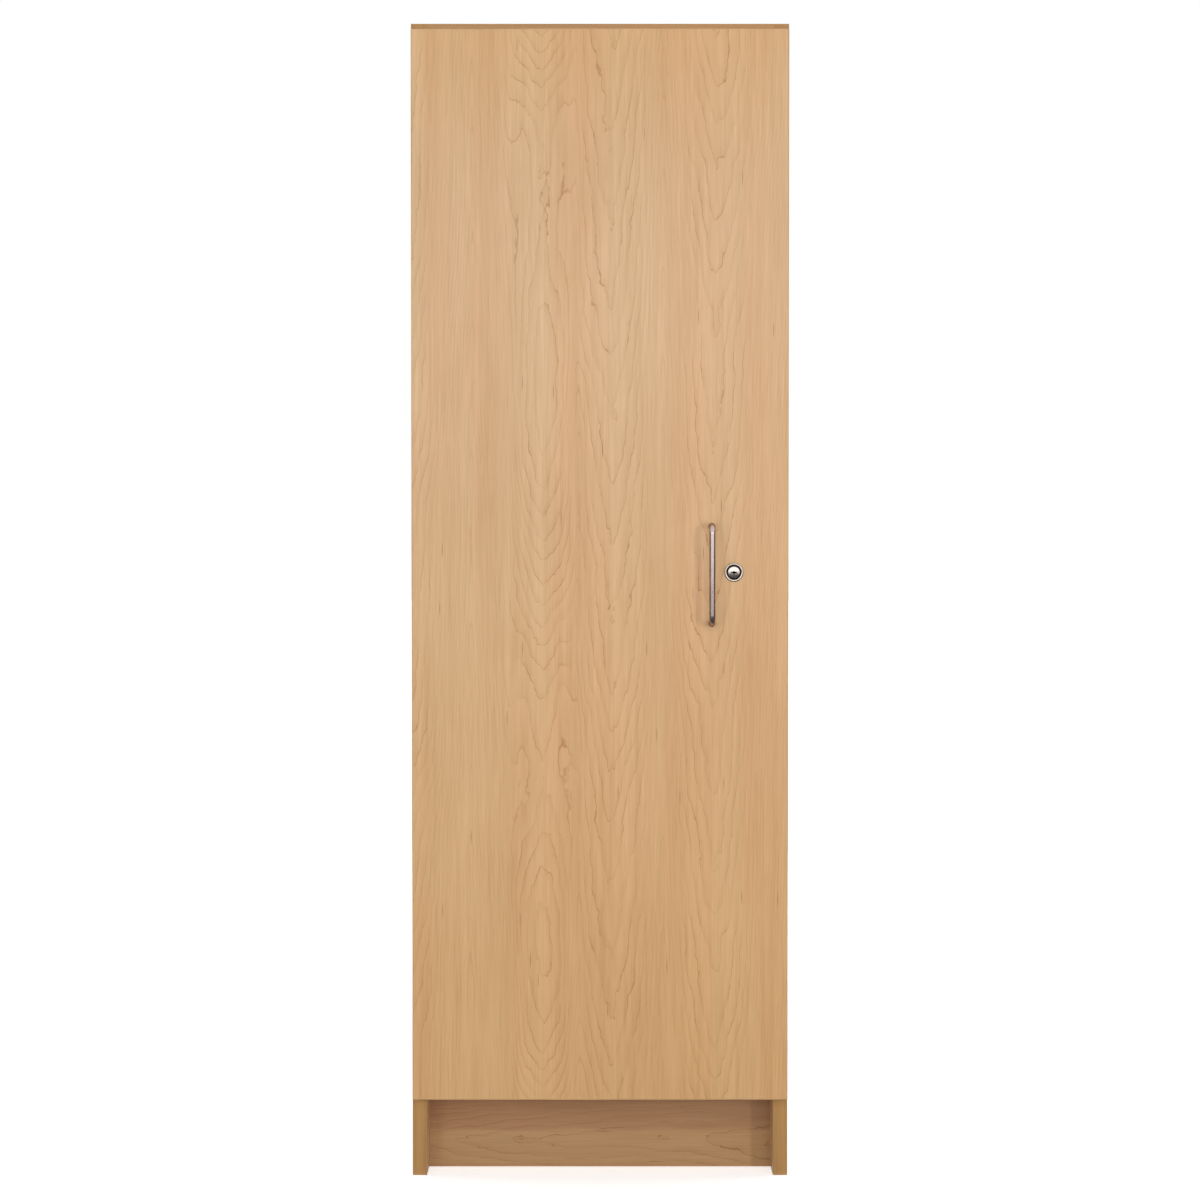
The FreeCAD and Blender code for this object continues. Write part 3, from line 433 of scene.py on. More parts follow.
def painted_shade_at_ends(finish, shown, across, along):
    """Painted shade: the door is tinted darker and warmer towards its two ends, most of all at the bottom,
    where less light and sheen reach it.
    """
    bottom = finish.ease(along, *END_SHADE_BOTTOM)
    top = finish.ease(along, *END_SHADE_TOP)
    return finish.mix(bottom + top * 0.8, shown, laminate_settings().end_shade, "MULTIPLY")


def toe_kick_shade_and_streak(finish, shown, across, along):
    """The toe kick is tinted darker and warmer all over as painted shade of its recess, and its print has a
    reddish streak along its upper half.
    """
    wood = laminate_settings()
    edge = pattern(finish, across, along, HEART_EDGE, 141.0, 2.0) * HEART_WANDER
    streak = finish.ease(across + edge, HEART_LOW, HEART_HIGH)
    shown = finish.mix(streak, shown, wood.heart, "MULTIPLY")
    # Painted shade of the recess over the whole toe kick
    return finish.mix(1.0, shown, wood.shaded_toe_kick, "MULTIPLY")


def laminate(name, face, grain, layer, arches, turning, change=None):
    """Laminated board with the printed maple on its two faces and chips where it is cut."""
    wood = laminate_settings()
    finish = Finish(name)
    where = finish.coordinates("Object")
    across = next(where[n] for n in "XYZ" if n not in (face, grain))
    shown, fibre = maple_print(finish, across, where[grain], layer, arches, turning, wood)
    if change:
        shown = change(finish, shown, across, where[grain])
    is_face = abs(finish.coordinates("Normal")[face]) > 0.7
    finish.set(base_color=finish.mix(is_face, chip_colour(finish, where, wood), shown))
    finish.set(roughness=0.46 + (fibre - 0.5) * 0.12)
    finish.bump(fibre, 0.02 * MM, 0.5)
    return finish.material


def edge_band(name, grain, tint):
    """Edge band with streaks along its length."""
    finish = Finish(name)
    where = finish.coordinates("Object")
    along = where[grain]
    across = sum(where[n] for n in "XYZ" if n != grain)
    streak = pattern(finish, across, along, BAND_STREAKS, 3.0, 2.0)
    cloud = pattern(finish, across, along, BAND_CLOUDS, 8.0)
    light = tuple(min(1.0, c * 1.14) for c in tint)
    dark = tuple(c * 0.84 for c in tint)
    tone = 0.5 + (streak - 0.5) * 1.2 + (cloud - 0.5) * 1.2
    finish.set(base_color=finish.mix(finish.ease(tone, 0.0, 1.0), dark, light))
    finish.set(roughness=0.40 + (streak - 0.5) * 0.14)
    finish.bump(streak, 0.02 * MM, 0.6)
    return finish.material


def plated(finish, where, tint, grain, roughness, scratch, metallic=1.0):
    """Plated metal with fine lines along one axis. Returns the clouded colour."""
    others = [where[n] for n in "XYZ" if n != grain]
    lines = finish.noise(others[0] * 5200.0, others[1] * 5200.0, where[grain] * 120.0, 1.0)
    cloud = finish.noise(where["X"] * 90.0, where["Y"] * 90.0, where["Z"] * 40.0, 2.0)
    finish.set(roughness=roughness + (lines - 0.5) * scratch + (cloud - 0.5) * scratch, metallic=metallic)
    finish.set(specular_tint=EDGE_TINT)
    finish.bump(lines, 0.002 * MM, 0.3)
    dull = tuple(c * 0.95 for c in tint)
    return finish.mix(finish.ease(cloud, 0.35, 0.65), dull, tint)


def metal(name, tint, roughness, grain="Z", scratch=0.08, metallic=1.0):
    """Plated metal."""
    finish = Finish(name)
    where = finish.coordinates("Object")
    finish.set(base_color=plated(finish, where, tint, grain, roughness, scratch, metallic))
    return finish.material


def lock_metal(name):
    """Plated metal of the lock, spun in circles in front: painted shade darkens the ring, the keyway and the
    edge of the plug's face, and painted shade and dark reflection darken the bezel's outer rim.
    """
    metals = metal_settings()
    finish = Finish(name)
    where = finish.coordinates("Object")
    low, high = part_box("lock_plug")
    centre = (low + high) / 2
    side = where["X"] - centre.x
    rise = where["Z"] - centre.z
    radius = (side * side + rise * rise) ** 0.5
    shown = plated(finish, where, metals.lock, "Y", 0.22, 0.08)
    grooves = finish.noise(radius * 4200.0, 0.0, 5.0, 2.0)
    finish.bump(grooves, 0.03 * MM, 0.4)
    # Painted shade: what lies deep in the ring and the keyway, and the edge of the plug's face, take the
    # dark recess colour.
    deep = finish.ease(where["Y"], low.y + CAP - 0.05 * MM, low.y + CAP + 0.15 * MM)
    inside = finish.ease(radius, RING_RADIUS + 0.1 * MM, RING_RADIUS - 0.1 * MM)
    edge = finish.ease(radius, FACE_RADIUS - 0.25 * MM, FACE_RADIUS + 0.25 * MM) * inside * 0.8
    # Painted shade and painted dark reflection on the bezel's outer rim
    rim_shade = finish.ease(radius, RIM_RADIUS - 0.4 * MM, RIM_RADIUS + 0.4 * MM) * 0.85
    shown = finish.mix(inside, metals.bezel, shown)
    dark = (deep * inside).math("MAXIMUM", edge).math("MAXIMUM", rim_shade)
    finish.set(base_color=finish.mix(dark, shown, metals.recess_shade))
    return finish.material


def plastic(name, tint, roughness, clear=0.0):
    """Moulded plastic with a faint mottle."""
    finish = Finish(name)
    where = finish.coordinates("Object")
    mottle = finish.noise(where["X"] * 900.0, where["Y"] * 900.0, where["Z"] * 900.0, 2.0)
    dull = tuple(c * 0.9 for c in tint)
    finish.set(base_color=finish.mix(mottle, dull, tint), transmission_weight=clear)
    finish.set(roughness=roughness + (mottle - 0.5) * 0.15)
    return finish.material


def bare_wood(name, tint):
    """Bare beech for the dowels."""
    finish = Finish(name)
    where = finish.coordinates("Object")
    streak = finish.noise(where["X"] * 60.0, where["Y"] * 1800.0, where["Z"] * 1800.0, 2.0)
    dark = tuple(c * 0.72 for c in tint)
    finish.set(base_color=finish.mix(streak, dark, tint), roughness=0.6 + (streak - 0.5) * 0.2)
    return finish.material


def dress_nodes(material, *nodes):
    """Gives CAD nodes a material."""
    for node in nodes:
        mesh = frame["nodes"][node].data
        mesh.materials.clear()
        mesh.materials.append(material)


def add_piece(name, mesh, material, node, crease=SMOOTH_ANGLE, replaces=True):
    """Makes a mesh a finished piece that rides on a CAD node's body, and stands in the node's place."""
    mesh.polygons.foreach_set("use_smooth", [True] * len(mesh.polygons))
    mesh.set_sharp_from_angle(angle=crease)
    mesh.materials.clear()
    mesh.materials.append(material)
    piece = bpy.data.objects.new(name, mesh)
    bpy.context.scene.collection.objects.link(piece)
    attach(piece, body_of[node])
    if replaces:
        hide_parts(node)
    return piece


def add_shape(name, shape, material, node, crease=SMOOTH_ANGLE, replaces=True):
    """Turns a bmesh into a finished piece."""
    bmesh.ops.remove_doubles(shape, verts=shape.verts, dist=SAME_POINT)
    bmesh.ops.recalc_face_normals(shape, faces=shape.faces)
    mesh = bpy.data.meshes.new(name)
    shape.to_mesh(mesh)
    shape.free()
    return add_piece(name, mesh, material, node, crease, replaces)


def merged_copy(node):
    """A CAD node's mesh with its loose triangles joined."""
    shape = bmesh.new()
    shape.from_mesh(frame["nodes"][node].data)
    bmesh.ops.remove_doubles(shape, verts=shape.verts, dist=SAME_POINT)
    return shape


def dressed_copy(node, material, rounding=0.0):
    """A piece of a CAD node's own shape, shaded smooth, with a small rounding on its sharp edges."""
    shape = merged_copy(node)
    if rounding:
        flat = math.radians(0.5)
        bmesh.ops.dissolve_limit(shape, angle_limit=flat, verts=shape.verts, edges=shape.edges)
        sharp = [e for e in shape.edges if len(e.link_faces) == 2 and e.calc_face_angle() > EDGE_ANGLE]
        bmesh.ops.bevel(shape, geom=sharp, offset=rounding, segments=2, profile=0.5, affect="EDGES")
    return add_shape(node + "_dressed", shape, material, node)


def islands(node):
    """The boxes of a CAD node's separate solids, as pairs of corners."""
    shape = merged_copy(node)
    left = set(shape.verts)
    found = []
    while left:
        front = [left.pop()]
        group = list(front)
        while front:
            near = {edge.other_vert(vert) for vert in front for edge in vert.link_edges} & left
            left -= near
            front = list(near)
            group += front
        low = Vector([min(v.co[i] for v in group) for i in range(3)])
        high = Vector([max(v.co[i] for v in group) for i in range(3)])
        found.append((low, high))
    shape.free()
    return sorted(found, key=lambda pair: tuple(round(c, 5) for c in pair[0]))


class Maker(Nodes):
    """A Geometry Nodes tree whose sizes are named inputs."""

    def __init__(self, name, sizes):
        super().__init__(bpy.data.node_groups.new(name, "GeometryNodeTree"))
        self.sizes = sizes
        face = self.tree.interface
        face.new_socket("Geometry", in_out="INPUT", socket_type="NodeSocketGeometry")
        for label, value in sizes.items():
            kind = "NodeSocketInt" if isinstance(value, int) else "NodeSocketFloat"
            face.new_socket(label, in_out="INPUT", socket_type=kind)
        face.new_socket("Material", in_out="INPUT", socket_type="NodeSocketMaterial")
        face.new_socket("Geometry", in_out="OUTPUT", socket_type="NodeSocketGeometry")
        self.inputs = self.tree.nodes.new("NodeGroupInput")
        self.end = self.tree.nodes.new("NodeGroupOutput")

    def size(self, label):
        return Wire(self, self.inputs.outputs[label])

    def vector(self, x, y, z):
        return self.node("ShaderNodeCombineXYZ", None, {0: x, 1: y, 2: z})

    def cone(self, low, high, height, sides=40):
        """Cone or round bar that stands on the origin, with its radius at the low and the high end."""
        sockets = {"Vertices": sides, "Radius Bottom": low, "Radius Top": high, "Depth": height}
        return self.node("GeometryNodeMeshCone", None, sockets, "Mesh")

    def block(self, x, y, z):
        return self.node("GeometryNodeMeshCube", None, {"Size": self.vector(x, y, z)}, "Mesh")

    def moved(self, shape, x=0.0, y=0.0, z=0.0):
        sockets = {"Geometry": shape, "Translation": self.vector(x, y, z)}
        return self.node("GeometryNodeTransform", None, sockets)

    def joined(self, *shapes):
        """Shapes put together in one geometry."""
        join = self.tree.nodes.new("GeometryNodeJoinGeometry")
        for shape in shapes:
            self.tree.links.new(shape.socket, join.inputs[0])
        return Wire(self, join.outputs[0])

    def union(self, *shapes):
        """One solid from solids that touch or overlap."""
        node = self.tree.nodes.new("GeometryNodeMeshBoolean")
        node.operation = "UNION"
        node.solver = "EXACT"
        for shape in shapes:
            self.tree.links.new(shape.socket, node.inputs["Mesh 2"])
        return Wire(self, node.outputs[0])

    def cut(self, shape, cutter):
        settings = {"operation": "DIFFERENCE", "solver": "EXACT"}
        return self.node("GeometryNodeMeshBoolean", settings, {"Mesh 1": shape, "Mesh 2": cutter})

    def run(self, shape, material, points):
        """Ends the tree, runs it on an object of loose points, and returns the plain mesh."""
        whole = self.node("GeometryNodeRealizeInstances", None, {0: shape})
        sockets = {"Geometry": whole, "Material": self.size("Material")}
        shown = self.node("GeometryNodeSetMaterial", None, sockets)
        self.tree.links.new(shown.socket, self.end.inputs[0])
        cloud = bpy.data.meshes.new("points")
        cloud.from_pydata(points, [], [])
        holder = bpy.data.objects.new("points", cloud)
        bpy.context.scene.collection.objects.link(holder)
        modifier = holder.modifiers.new("maker", "NODES")
        modifier.node_group = self.tree
        values = {**self.sizes, "Material": material}
        for socket in self.tree.interface.items_tree:
            if socket.in_out == "INPUT" and socket.name in values:
                modifier[socket.identifier] = values[socket.name]
        graph = bpy.context.evaluated_depsgraph_get()
        mesh = bpy.data.meshes.new_from_object(holder.evaluated_get(graph))
        holder.modifiers.clear()
        bpy.data.objects.remove(holder)
        return mesh


def add_screws(node, way, head, material, countersunk=False):
    """Screws with cross recesses in a CAD group's place. Their heads point along the way."""
    boxes = islands(node)
    axis = max(range(3), key=lambda i: abs(way[i]))
    side = (axis + 1) % 3
    tops = []
    for low, high in boxes:
        top = (low + high) / 2
        top[axis] = high[axis] if way[axis] > 0 else low[axis]
        tops.append(tuple(top))
    low, high = boxes[0]
    head_radius = (high[side] - low[side]) / 2
    sizes = {
        "Foot Radius": head["shank"] if countersunk else head_radius,
        "Head Radius": head_radius,
        "Crown Radius": head_radius * 0.74,
        "Head Height": head["height"],
        "Crown Height": head["crown"],
        "Shank Radius": head["shank"],
        "Shank Length": high[axis] - low[axis] - head["height"],
        "Recess Length": head_radius * 1.25,
        "Recess Width": head_radius * 0.27,
    }
    maker = Maker(node + " maker", sizes)
    size = maker.size
    height = size("Head Height")
    shoulder = height - size("Crown Height")
    foot = maker.cone(size("Foot Radius"), size("Head Radius"), shoulder)
    crown = maker.cone(size("Head Radius"), size("Crown Radius"), size("Crown Height"))
    crown = maker.moved(crown, z=shoulder)
    long_cut = maker.block(size("Recess Length"), size("Recess Width"), height)
    wide_cut = maker.block(size("Recess Width"), size("Recess Length"), height)
    cross = maker.moved(maker.union(long_cut, wide_cut), z=height)
    solid = maker.cut(maker.union(foot, crown), cross)
    shank = maker.cone(size("Shank Radius"), size("Shank Radius"), size("Shank Length"), 20)
    shank = maker.moved(shank, z=0.0 - size("Shank Length"))
    screw = maker.moved(maker.joined(solid, shank), z=0.0 - height)
    turn = tuple(Vector(way).to_track_quat("Z", "Y").to_euler())
    sockets = {"Points": size("Geometry"), "Instance": screw, "Rotation": turn}
    placed = maker.node("GeometryNodeInstanceOnPoints", None, sockets)
    mesh = maker.run(placed, material, tops)
    return add_piece(node + "_dressed", mesh, material, node, SCREW_ANGLE)


class CABINET_OT_boards(bpy.types.Operator):
    """Finish the boards and the back with the printed maple"""

    bl_idname = "cabinet.boards"
    bl_label = "Boards"

    def execute(self, context):
        # Middles of the columns of arches, in metres across the board
        wide = (-0.19, -0.06, 0.11, 0.26)
        deep = (-0.15, 0.02, 0.17)
        loose = (-0.10, 0.08, 0.21)
        front = (-0.262, -0.076, 0.016, 0.150)
        door = laminate("maple door", "Y", "Z", 0.0, front, -0.076, painted_shade_at_ends)
        dress_nodes(door, "door_panel")
        dress_nodes(laminate("maple left side", "X", "Z", 40.0, deep, 0.02), "side_panel_left")
        dress_nodes(laminate("maple right side", "X", "Z", 50.0, loose, -0.10), "side_panel_right")
        dress_nodes(laminate("maple back", "Y", "Z", 60.0, wide, 0.11), "back_panel")
        dress_nodes(laminate("maple top", "Z", "X", 70.0, deep, 0.17), "top_panel", "bottom_panel")
        shelf = laminate("maple shelf", "Z", "X", 80.0, loose, 0.08)
        dress_nodes(shelf, "fixed_shelf", "adjustable_shelf_2")
        shelf = laminate("maple loose shelf", "Z", "X", 90.0, deep, -0.15)
        dress_nodes(shelf, "adjustable_shelf_1", "adjustable_shelf_3")
        shaded_toe_kick = laminate("maple toe kick", "Y", "X", 100.0, (0.035,), NOWHERE, toe_kick_shade_and_streak)
        dress_nodes(shaded_toe_kick, "toe_kick_board")
        rail = laminate("maple rail", "Y", "X", 110.0, (0.05, 1.46), 0.05)
        dress_nodes(rail, "rear_base_rail", "rear_top_rail")
        return {"FINISHED"}


class CABINET_OT_edge_bands(bpy.types.Operator):
    """Finish the edge bands"""

    bl_idname = "cabinet.edge_bands"
    bl_label = "Edge bands"

    def execute(self, context):
        wood = laminate_settings()
        upright = edge_band("band upright", "Z", wood.band)
        # The level bands take the lighter, painted-light copy of the carcass band colour.
        level = edge_band("band level", "X", wood.lit_level_band)
        for node in ("side_edge_band_left", "side_edge_band_right"):
            dressed_copy(node, upright, 0.25 * MM)
        for node in ("top_edge_band", "bottom_edge_band", "shelf_edge_bands"):
            dressed_copy(node, level, 0.25 * MM)
        upright = edge_band("door band upright", "Z", wood.door_band)
        level = edge_band("door band level", "X", wood.door_band)
        for end, material in {"left": upright, "right": upright, "top": level, "bottom": level}.items():
            dressed_copy("door_edge_band_" + end, material)
        return {"FINISHED"}


class CABINET_OT_pull(bpy.types.Operator):
    """Make the bent-wire pull"""

    bl_idname = "cabinet.pull"
    bl_label = "Pull"

    def execute(self, context):
        metals = metal_settings()
        low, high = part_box("pull_handle")
        radius = (high.x - low.x) / 2
        shape = wire_along(pull_path(low, high, radius, metals.bend), radius)
        add_shape("pull", shape, metal("satin pull", metals.pull, 0.27), "pull_handle")
        return {"FINISHED"}


def pull_path(low, high, radius, bend):
    """Points along the middle of the pull's wire, each with the way to the inside of the bends."""
    steps = 20
    middle_x = (high.x + low.x) / 2
    bend_y = low.y + radius + bend
    path = []
    for leg_z, inward in ((low.z + radius, 1), (high.z - radius, -1)):
        leg = [(Vector((middle_x, high.y, leg_z)), Vector((0, 0, inward)))]
        for step in range(steps + 1):
            turn = math.pi / 2 * step / steps
            out = Vector((0, -math.sin(turn), -inward * math.cos(turn)))
            centre = Vector((middle_x, bend_y, leg_z + inward * bend))
            leg.append((centre + out * bend, -out))
        path += leg if inward > 0 else leg[::-1]
    return path


def wire_along(path, radius):
    """Round wire along a path, closed at both ends."""
    sides = 48
    shape = bmesh.new()
    rings = []
    for centre, inside in path:
        spokes = [X_AXIS * math.cos(a) + inside * math.sin(a) for a in turns(sides)]
        rings.append([shape.verts.new(centre + spoke * radius) for spoke in spokes])
    for first, second in zip(rings[:-1], rings[1:]):
        for side in range(sides):
            after = (side + 1) % sides
            shape.faces.new((first[side], first[after], second[after], second[side]))
    shape.faces.new(rings[0])
    shape.faces.new(rings[-1])
    return shape


def turns(count):
    """Angles that share out a whole turn."""
    return [2 * math.pi * step / count for step in range(count)]


class CABINET_OT_lock(bpy.types.Operator):
    """Finish the cam lock and make the ribbed ring round its plug"""

    bl_idname = "cabinet.lock"
    bl_label = "Lock"

    def execute(self, context):
        metals = metal_settings()
        plated_steel = metal("plated lock steel", metals.steel, 0.32)
        lock = lock_metal("spun lock")
        dressed_copy("lock_housing", lock)
        add_plug(lock)
        dressed_copy("lock_nut", plated_steel, 0.3 * MM)
        dressed_copy("lock_cam", plated_steel, 0.25 * MM)
        dressed_copy("cam_washer", plated_steel, 0.1 * MM)
        dressed_copy("lock_strike", plated_steel, 0.2 * MM)
        add_ribs(metals)
        return {"FINISHED"}


def lathed(profile, centre, sides):
    """A closed solid turned round the lock's axis, from pairs of radius and depth that start on the axis."""
    shape = bmesh.new()
    loops = []
    for radius, y in profile[1:-1]:
        spokes = [Vector((math.cos(a), 0, math.sin(a))) for a in turns(sides)]
        loops.append([shape.verts.new(Vector((centre.x, y, centre.z)) + spoke * radius) for spoke in spokes])
    ends = [shape.verts.new((centre.x, y, centre.z)) for radius, y in (profile[0], profile[-1])]
    for side in range(sides):
        after = (side + 1) % sides
        shape.faces.new((ends[0], loops[0][side], loops[0][after]))
        shape.faces.new((ends[1], loops[-1][after], loops[-1][side]))
        for inner, outer in zip(loops[:-1], loops[1:]):
            shape.faces.new((inner[side], inner[after], outer[after], outer[side]))
    bmesh.ops.recalc_face_normals(shape, faces=shape.faces)
    return shape


def loose_object(name, shape):
    """An object for a shape that is only needed while another is made."""
    mesh = bpy.data.meshes.new(name)
    shape.to_mesh(mesh)
    shape.free()
    made = bpy.data.objects.new(name, mesh)
    bpy.context.scene.collection.objects.link(made)
    return made


def cut_out(shape, cutters):
    """The mesh that is left of a shape once the cutters are taken out of it."""
    whole = loose_object("whole", shape)
    tools = [loose_object("cutter", cutter) for cutter in cutters]
    for tool in tools:
        cut = whole.modifiers.new("cut", "BOOLEAN")
        cut.operation = "DIFFERENCE"
        cut.solver = "EXACT"
        cut.object = tool
    graph = bpy.context.evaluated_depsgraph_get()
    mesh = bpy.data.meshes.new_from_object(whole.evaluated_get(graph))
    for made in (whole, *tools):
        bpy.data.objects.remove(made)
    return mesh


def add_plug(material):
    """The lock's plug with a slightly domed face, whose middle lies where the frame's own flat face is."""
    low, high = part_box("lock_plug")
    centre = (low + high) / 2
    reach = (high.x - low.x) / 2
    rings = 14
    just_within = 0.05 * MM
    flat_face = low.y + 0.01 * MM
    profile = [(reach * ring / rings, low.y + DOME * (ring / rings) ** 2) for ring in range(rings + 1)]
    profile += [(reach, low.y + CAP), (0.0, low.y + CAP)]
    slot = bmesh.new()
    bmesh.ops.create_cube(slot, size=1.0)
    bmesh.ops.scale(slot, vec=(KEYWAY_LENGTH, 4 * CAP, KEYWAY_WIDTH), verts=slot.verts)
    bmesh.ops.translate(slot, vec=(centre.x, low.y, centre.z), verts=slot.verts)
    before = low.y - 2 * CAP
    behind = low.y + 2 * CAP
    eye = [(0.0, before), (KEYWAY_EYE, before), (KEYWAY_EYE, behind), (0.0, behind)]
    cap = cut_out(lathed(profile, centre, 72), [slot, lathed(eye, centre, 48)])
    shape = merged_copy("lock_plug")
    for vert in shape.verts:
        if vert.co.y < flat_face:
            vert.co.y = low.y + DOME + just_within
    shape.from_mesh(cap)
    add_shape("lock_plug_dressed", shape, material, "lock_plug")


def add_ribs(metals):
    """Ring of small ribs that stands in the recess between the lock's bezel and its plug."""
    bezel_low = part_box("lock_housing")[0]
    plug_low, plug_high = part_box("lock_plug")
    centre = (plug_low + plug_high) / 2
    sizes = {
        "Count": metals.ribs,
        "Inner Radius": (plug_high.x - plug_low.x) / 2 + 0.25 * MM,
        "Outer Radius": RING_RADIUS,
        "Rib Width": 0.8 * MM,
        "Rib Depth": 1.3 * MM,
        "Sunk": 0.35 * MM,
    }
    maker = Maker("lock ribs maker", sizes)
    size = maker.size
    middle = (size("Inner Radius") + size("Outer Radius")) * 0.5
    ring = maker.node("GeometryNodeMeshCircle", None, {"Vertices": size("Count"), "Radius": middle})
    block = maker.block(size("Outer Radius") - size("Inner Radius"), size("Rib Width"), size("Rib Depth"))
    turn = maker.node("GeometryNodeInputIndex") * (2 * math.pi) / size("Count")
    sockets = {"Points": ring, "Instance": block, "Rotation": maker.vector(0.0, 0.0, turn)}
    ribs = maker.node("GeometryNodeInstanceOnPoints", None, sockets)
    sockets = {"Geometry": ribs, "Rotation": (math.pi / 2, 0.0, 0.0)}
    upright = maker.node("GeometryNodeTransform", None, sockets)
    depth = size("Sunk") + size("Rib Depth") * 0.5
    placed = maker.moved(upright, centre.x, bezel_low.y + depth, centre.z)
    # The ribs take a dark colour as painted shade.
    material = metal("lock ribs", metals.shaded_rib, 0.34)
    mesh = maker.run(placed, material, [(0.0, 0.0, 0.0)])
    add_piece("lock_ribs", mesh, material, "lock_housing", replaces=False)


class CABINET_OT_hinges(bpy.types.Operator):
    """Finish the three concealed hinges"""

    bl_idname = "cabinet.hinges"
    bl_label = "Hinges"

    def execute(self, context):
        metals = metal_settings()
        nickel = metal("nickel hinge", metals.hinge, 0.26, metallic=SATIN_METAL)
        steel = metal("hinge link steel", metals.steel, 0.30, metallic=SATIN_METAL)
        for number in ("1", "2", "3"):
            dressed_copy("hinge_cup_" + number, nickel, 0.2 * MM)
            dressed_copy("hinge_arm_" + number, nickel, 0.25 * MM)
            dressed_copy("hinge_plate_" + number, nickel, 0.25 * MM)
            dressed_copy("hinge_inner_link_" + number, steel, 0.15 * MM)
            dressed_copy("hinge_outer_link_" + number, steel, 0.1 * MM)
        dressed_copy("cup_pivot_pins", steel)
        dressed_copy("arm_pivot_pins", steel)
        return {"FINISHED"}


def screw_head(height, crown, shank):
    """Sizes of one kind of screw, given in millimetres."""
    return {"height": height * MM, "crown": crown * MM, "shank": shank * MM}


class CABINET_OT_screws(bpy.types.Operator):
    """Make the screws with their cross recesses"""

    bl_idname = "cabinet.screws"
    bl_label = "Screws"

    def execute(self, context):
        steel = metal("screw steel", metal_settings().steel, 0.28, metallic=SATIN_METAL)
        back = (0, 1, 0)
        right = (1, 0, 0)
        left = (-1, 0, 0)
        add_screws("cup_screws", back, screw_head(1.6, 0.15, 1.6), steel, True)
        add_screws("plate_screws", right, screw_head(1.8, 0.7, 2.4), steel)
        add_screws("arm_screws", right, screw_head(1.4, 0.5, 1.9), steel)
        add_screws("pull_screws", back, screw_head(2.4, 1.1, 1.9), steel)
        add_screws("strike_screws", left, screw_head(1.6, 0.7, 1.6), steel)
        add_screws("cam_screw", back, screw_head(2.6, 0.9, 1.9), steel)
        return {"FINISHED"}


class CABINET_OT_small_parts(bpy.types.Operator):
    """Finish the pegs, connectors, dowels and bumpers"""

    bl_idname = "cabinet.small_parts"
    bl_label = "Small parts"

    def execute(self, context):
        metals = metal_settings()
        dressed_copy("shelf_pegs", metal("nickel peg", metals.hinge, 0.26, "X"), 0.3 * MM)
        zinc = metal("cast zinc", metals.zinc, 0.42)
        dressed_copy("connector_cams", zinc, 0.2 * MM)
        dressed_copy("connecting_bolts", zinc)
        dressed_copy("dowels", bare_wood("beech dowel", linear(208, 172, 128)), 0.8 * MM)
        dressed_copy("door_bumpers", plastic("soft bumper", (0.85, 0.86, 0.86), 0.25, 0.55), 0.7 * MM)
        return {"FINISHED"}


class CABINET_OT_stage(bpy.types.Operator):
    """Set the camera, the lamps, the floor and the pale surroundings"""

    bl_idname = "cabinet.stage"
    bl_label = "Studio"

    def execute(self, context):
        studio = context.scene.cabinet_studio
        scene = context.scene
        scene.view_settings.view_transform = "Standard"
        front_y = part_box("side_edge_band_left")[0].y
        add_camera(scene, studio, front_y)
        add_lamp("front lamp", studio.front, Vector((0.25, front_y - 3.2, 1.55)), 1.8)
        add_lamp("key lamp", studio.key, Vector((2.07, front_y - 3.5, 0.80)), 0.28)
        add_lamp("fill lamp", studio.fill, Vector((-1.40, front_y - 3.5, 0.95)), 0.8)
        add_lamp("left side lamp", studio.side, Vector((-3.0, 0.6, 1.5)), 1.4)
        add_lamp("right side lamp", studio.side, Vector((3.0, 0.6, 1.5)), 1.4)
        add_lamp("rear lamp", studio.rear, Vector((0.4, 3.4, 1.5)), 1.8)
        add_lamp("top lamp", studio.top, Vector((0.0, 0.9, 4.0)), 1.6)
        add_surroundings(scene, studio)
        add_floor()
        add_reflector()
        return {"FINISHED"}


def add_camera(scene, studio, front_y):
    """Camera straight in front of the cabinet."""
    data = bpy.data.cameras.new("camera")
    data.sensor_width = 36.0
    data.lens = data.sensor_width * studio.distance / studio.view_width
    data.clip_end = 100.0
    camera = bpy.data.objects.new("camera", data)
    camera.location = (0.0, front_y - studio.distance, studio.height)
    camera.rotation_euler = (math.pi / 2 - studio.pitch, 0.0, 0.0)
    scene.collection.objects.link(camera)
    scene.camera = camera


def add_lamp(name, watts, place, size):
    """Square soft lamp that faces the cabinet's middle. Metal shows the reflector instead of it."""
    data = bpy.data.lights.new(name, "AREA")
    data.energy = watts
    data.size = size
    lamp = bpy.data.objects.new(name, data)
    lamp.location = place
    aim = Vector((0, 0, (cad_low.z + cad_high.z) / 2)) - place
    lamp.rotation_euler = aim.to_track_quat("-Z", "Y").to_euler()
    lamp.visible_glossy = False
    bpy.context.scene.collection.objects.link(lamp)


def seen_directly(nodes):
    """1 for what the camera, a reflection or clear plastic shows, and 0 for what only gives light."""
    path = nodes.node("ShaderNodeLightPath", None, None, "Is Camera Ray")
    mirrored = path.math("MAXIMUM", path.other("Is Glossy Ray"))
    return mirrored.math("MAXIMUM", path.other("Is Transmission Ray"))


def add_surroundings(scene, studio):
    """World that looks white and lights the cabinet evenly."""
    world = bpy.data.worlds.new("studio")
    world.use_nodes = True
    nodes = Nodes(world.node_tree)
    world.node_tree.nodes.clear()
    even = nodes.node("ShaderNodeBackground", None, {"Color": (1.0, 1.0, 1.0), "Strength": studio.sky})
    white = nodes.node("ShaderNodeBackground", None, {"Color": (1.0, 1.0, 1.0), "Strength": 1.0})
    mixed = nodes.node("ShaderNodeMixShader", None, {0: seen_directly(nodes), 1: even, 2: white})
    nodes.node("ShaderNodeOutputWorld", None, {"Surface": mixed})
    scene.world = world


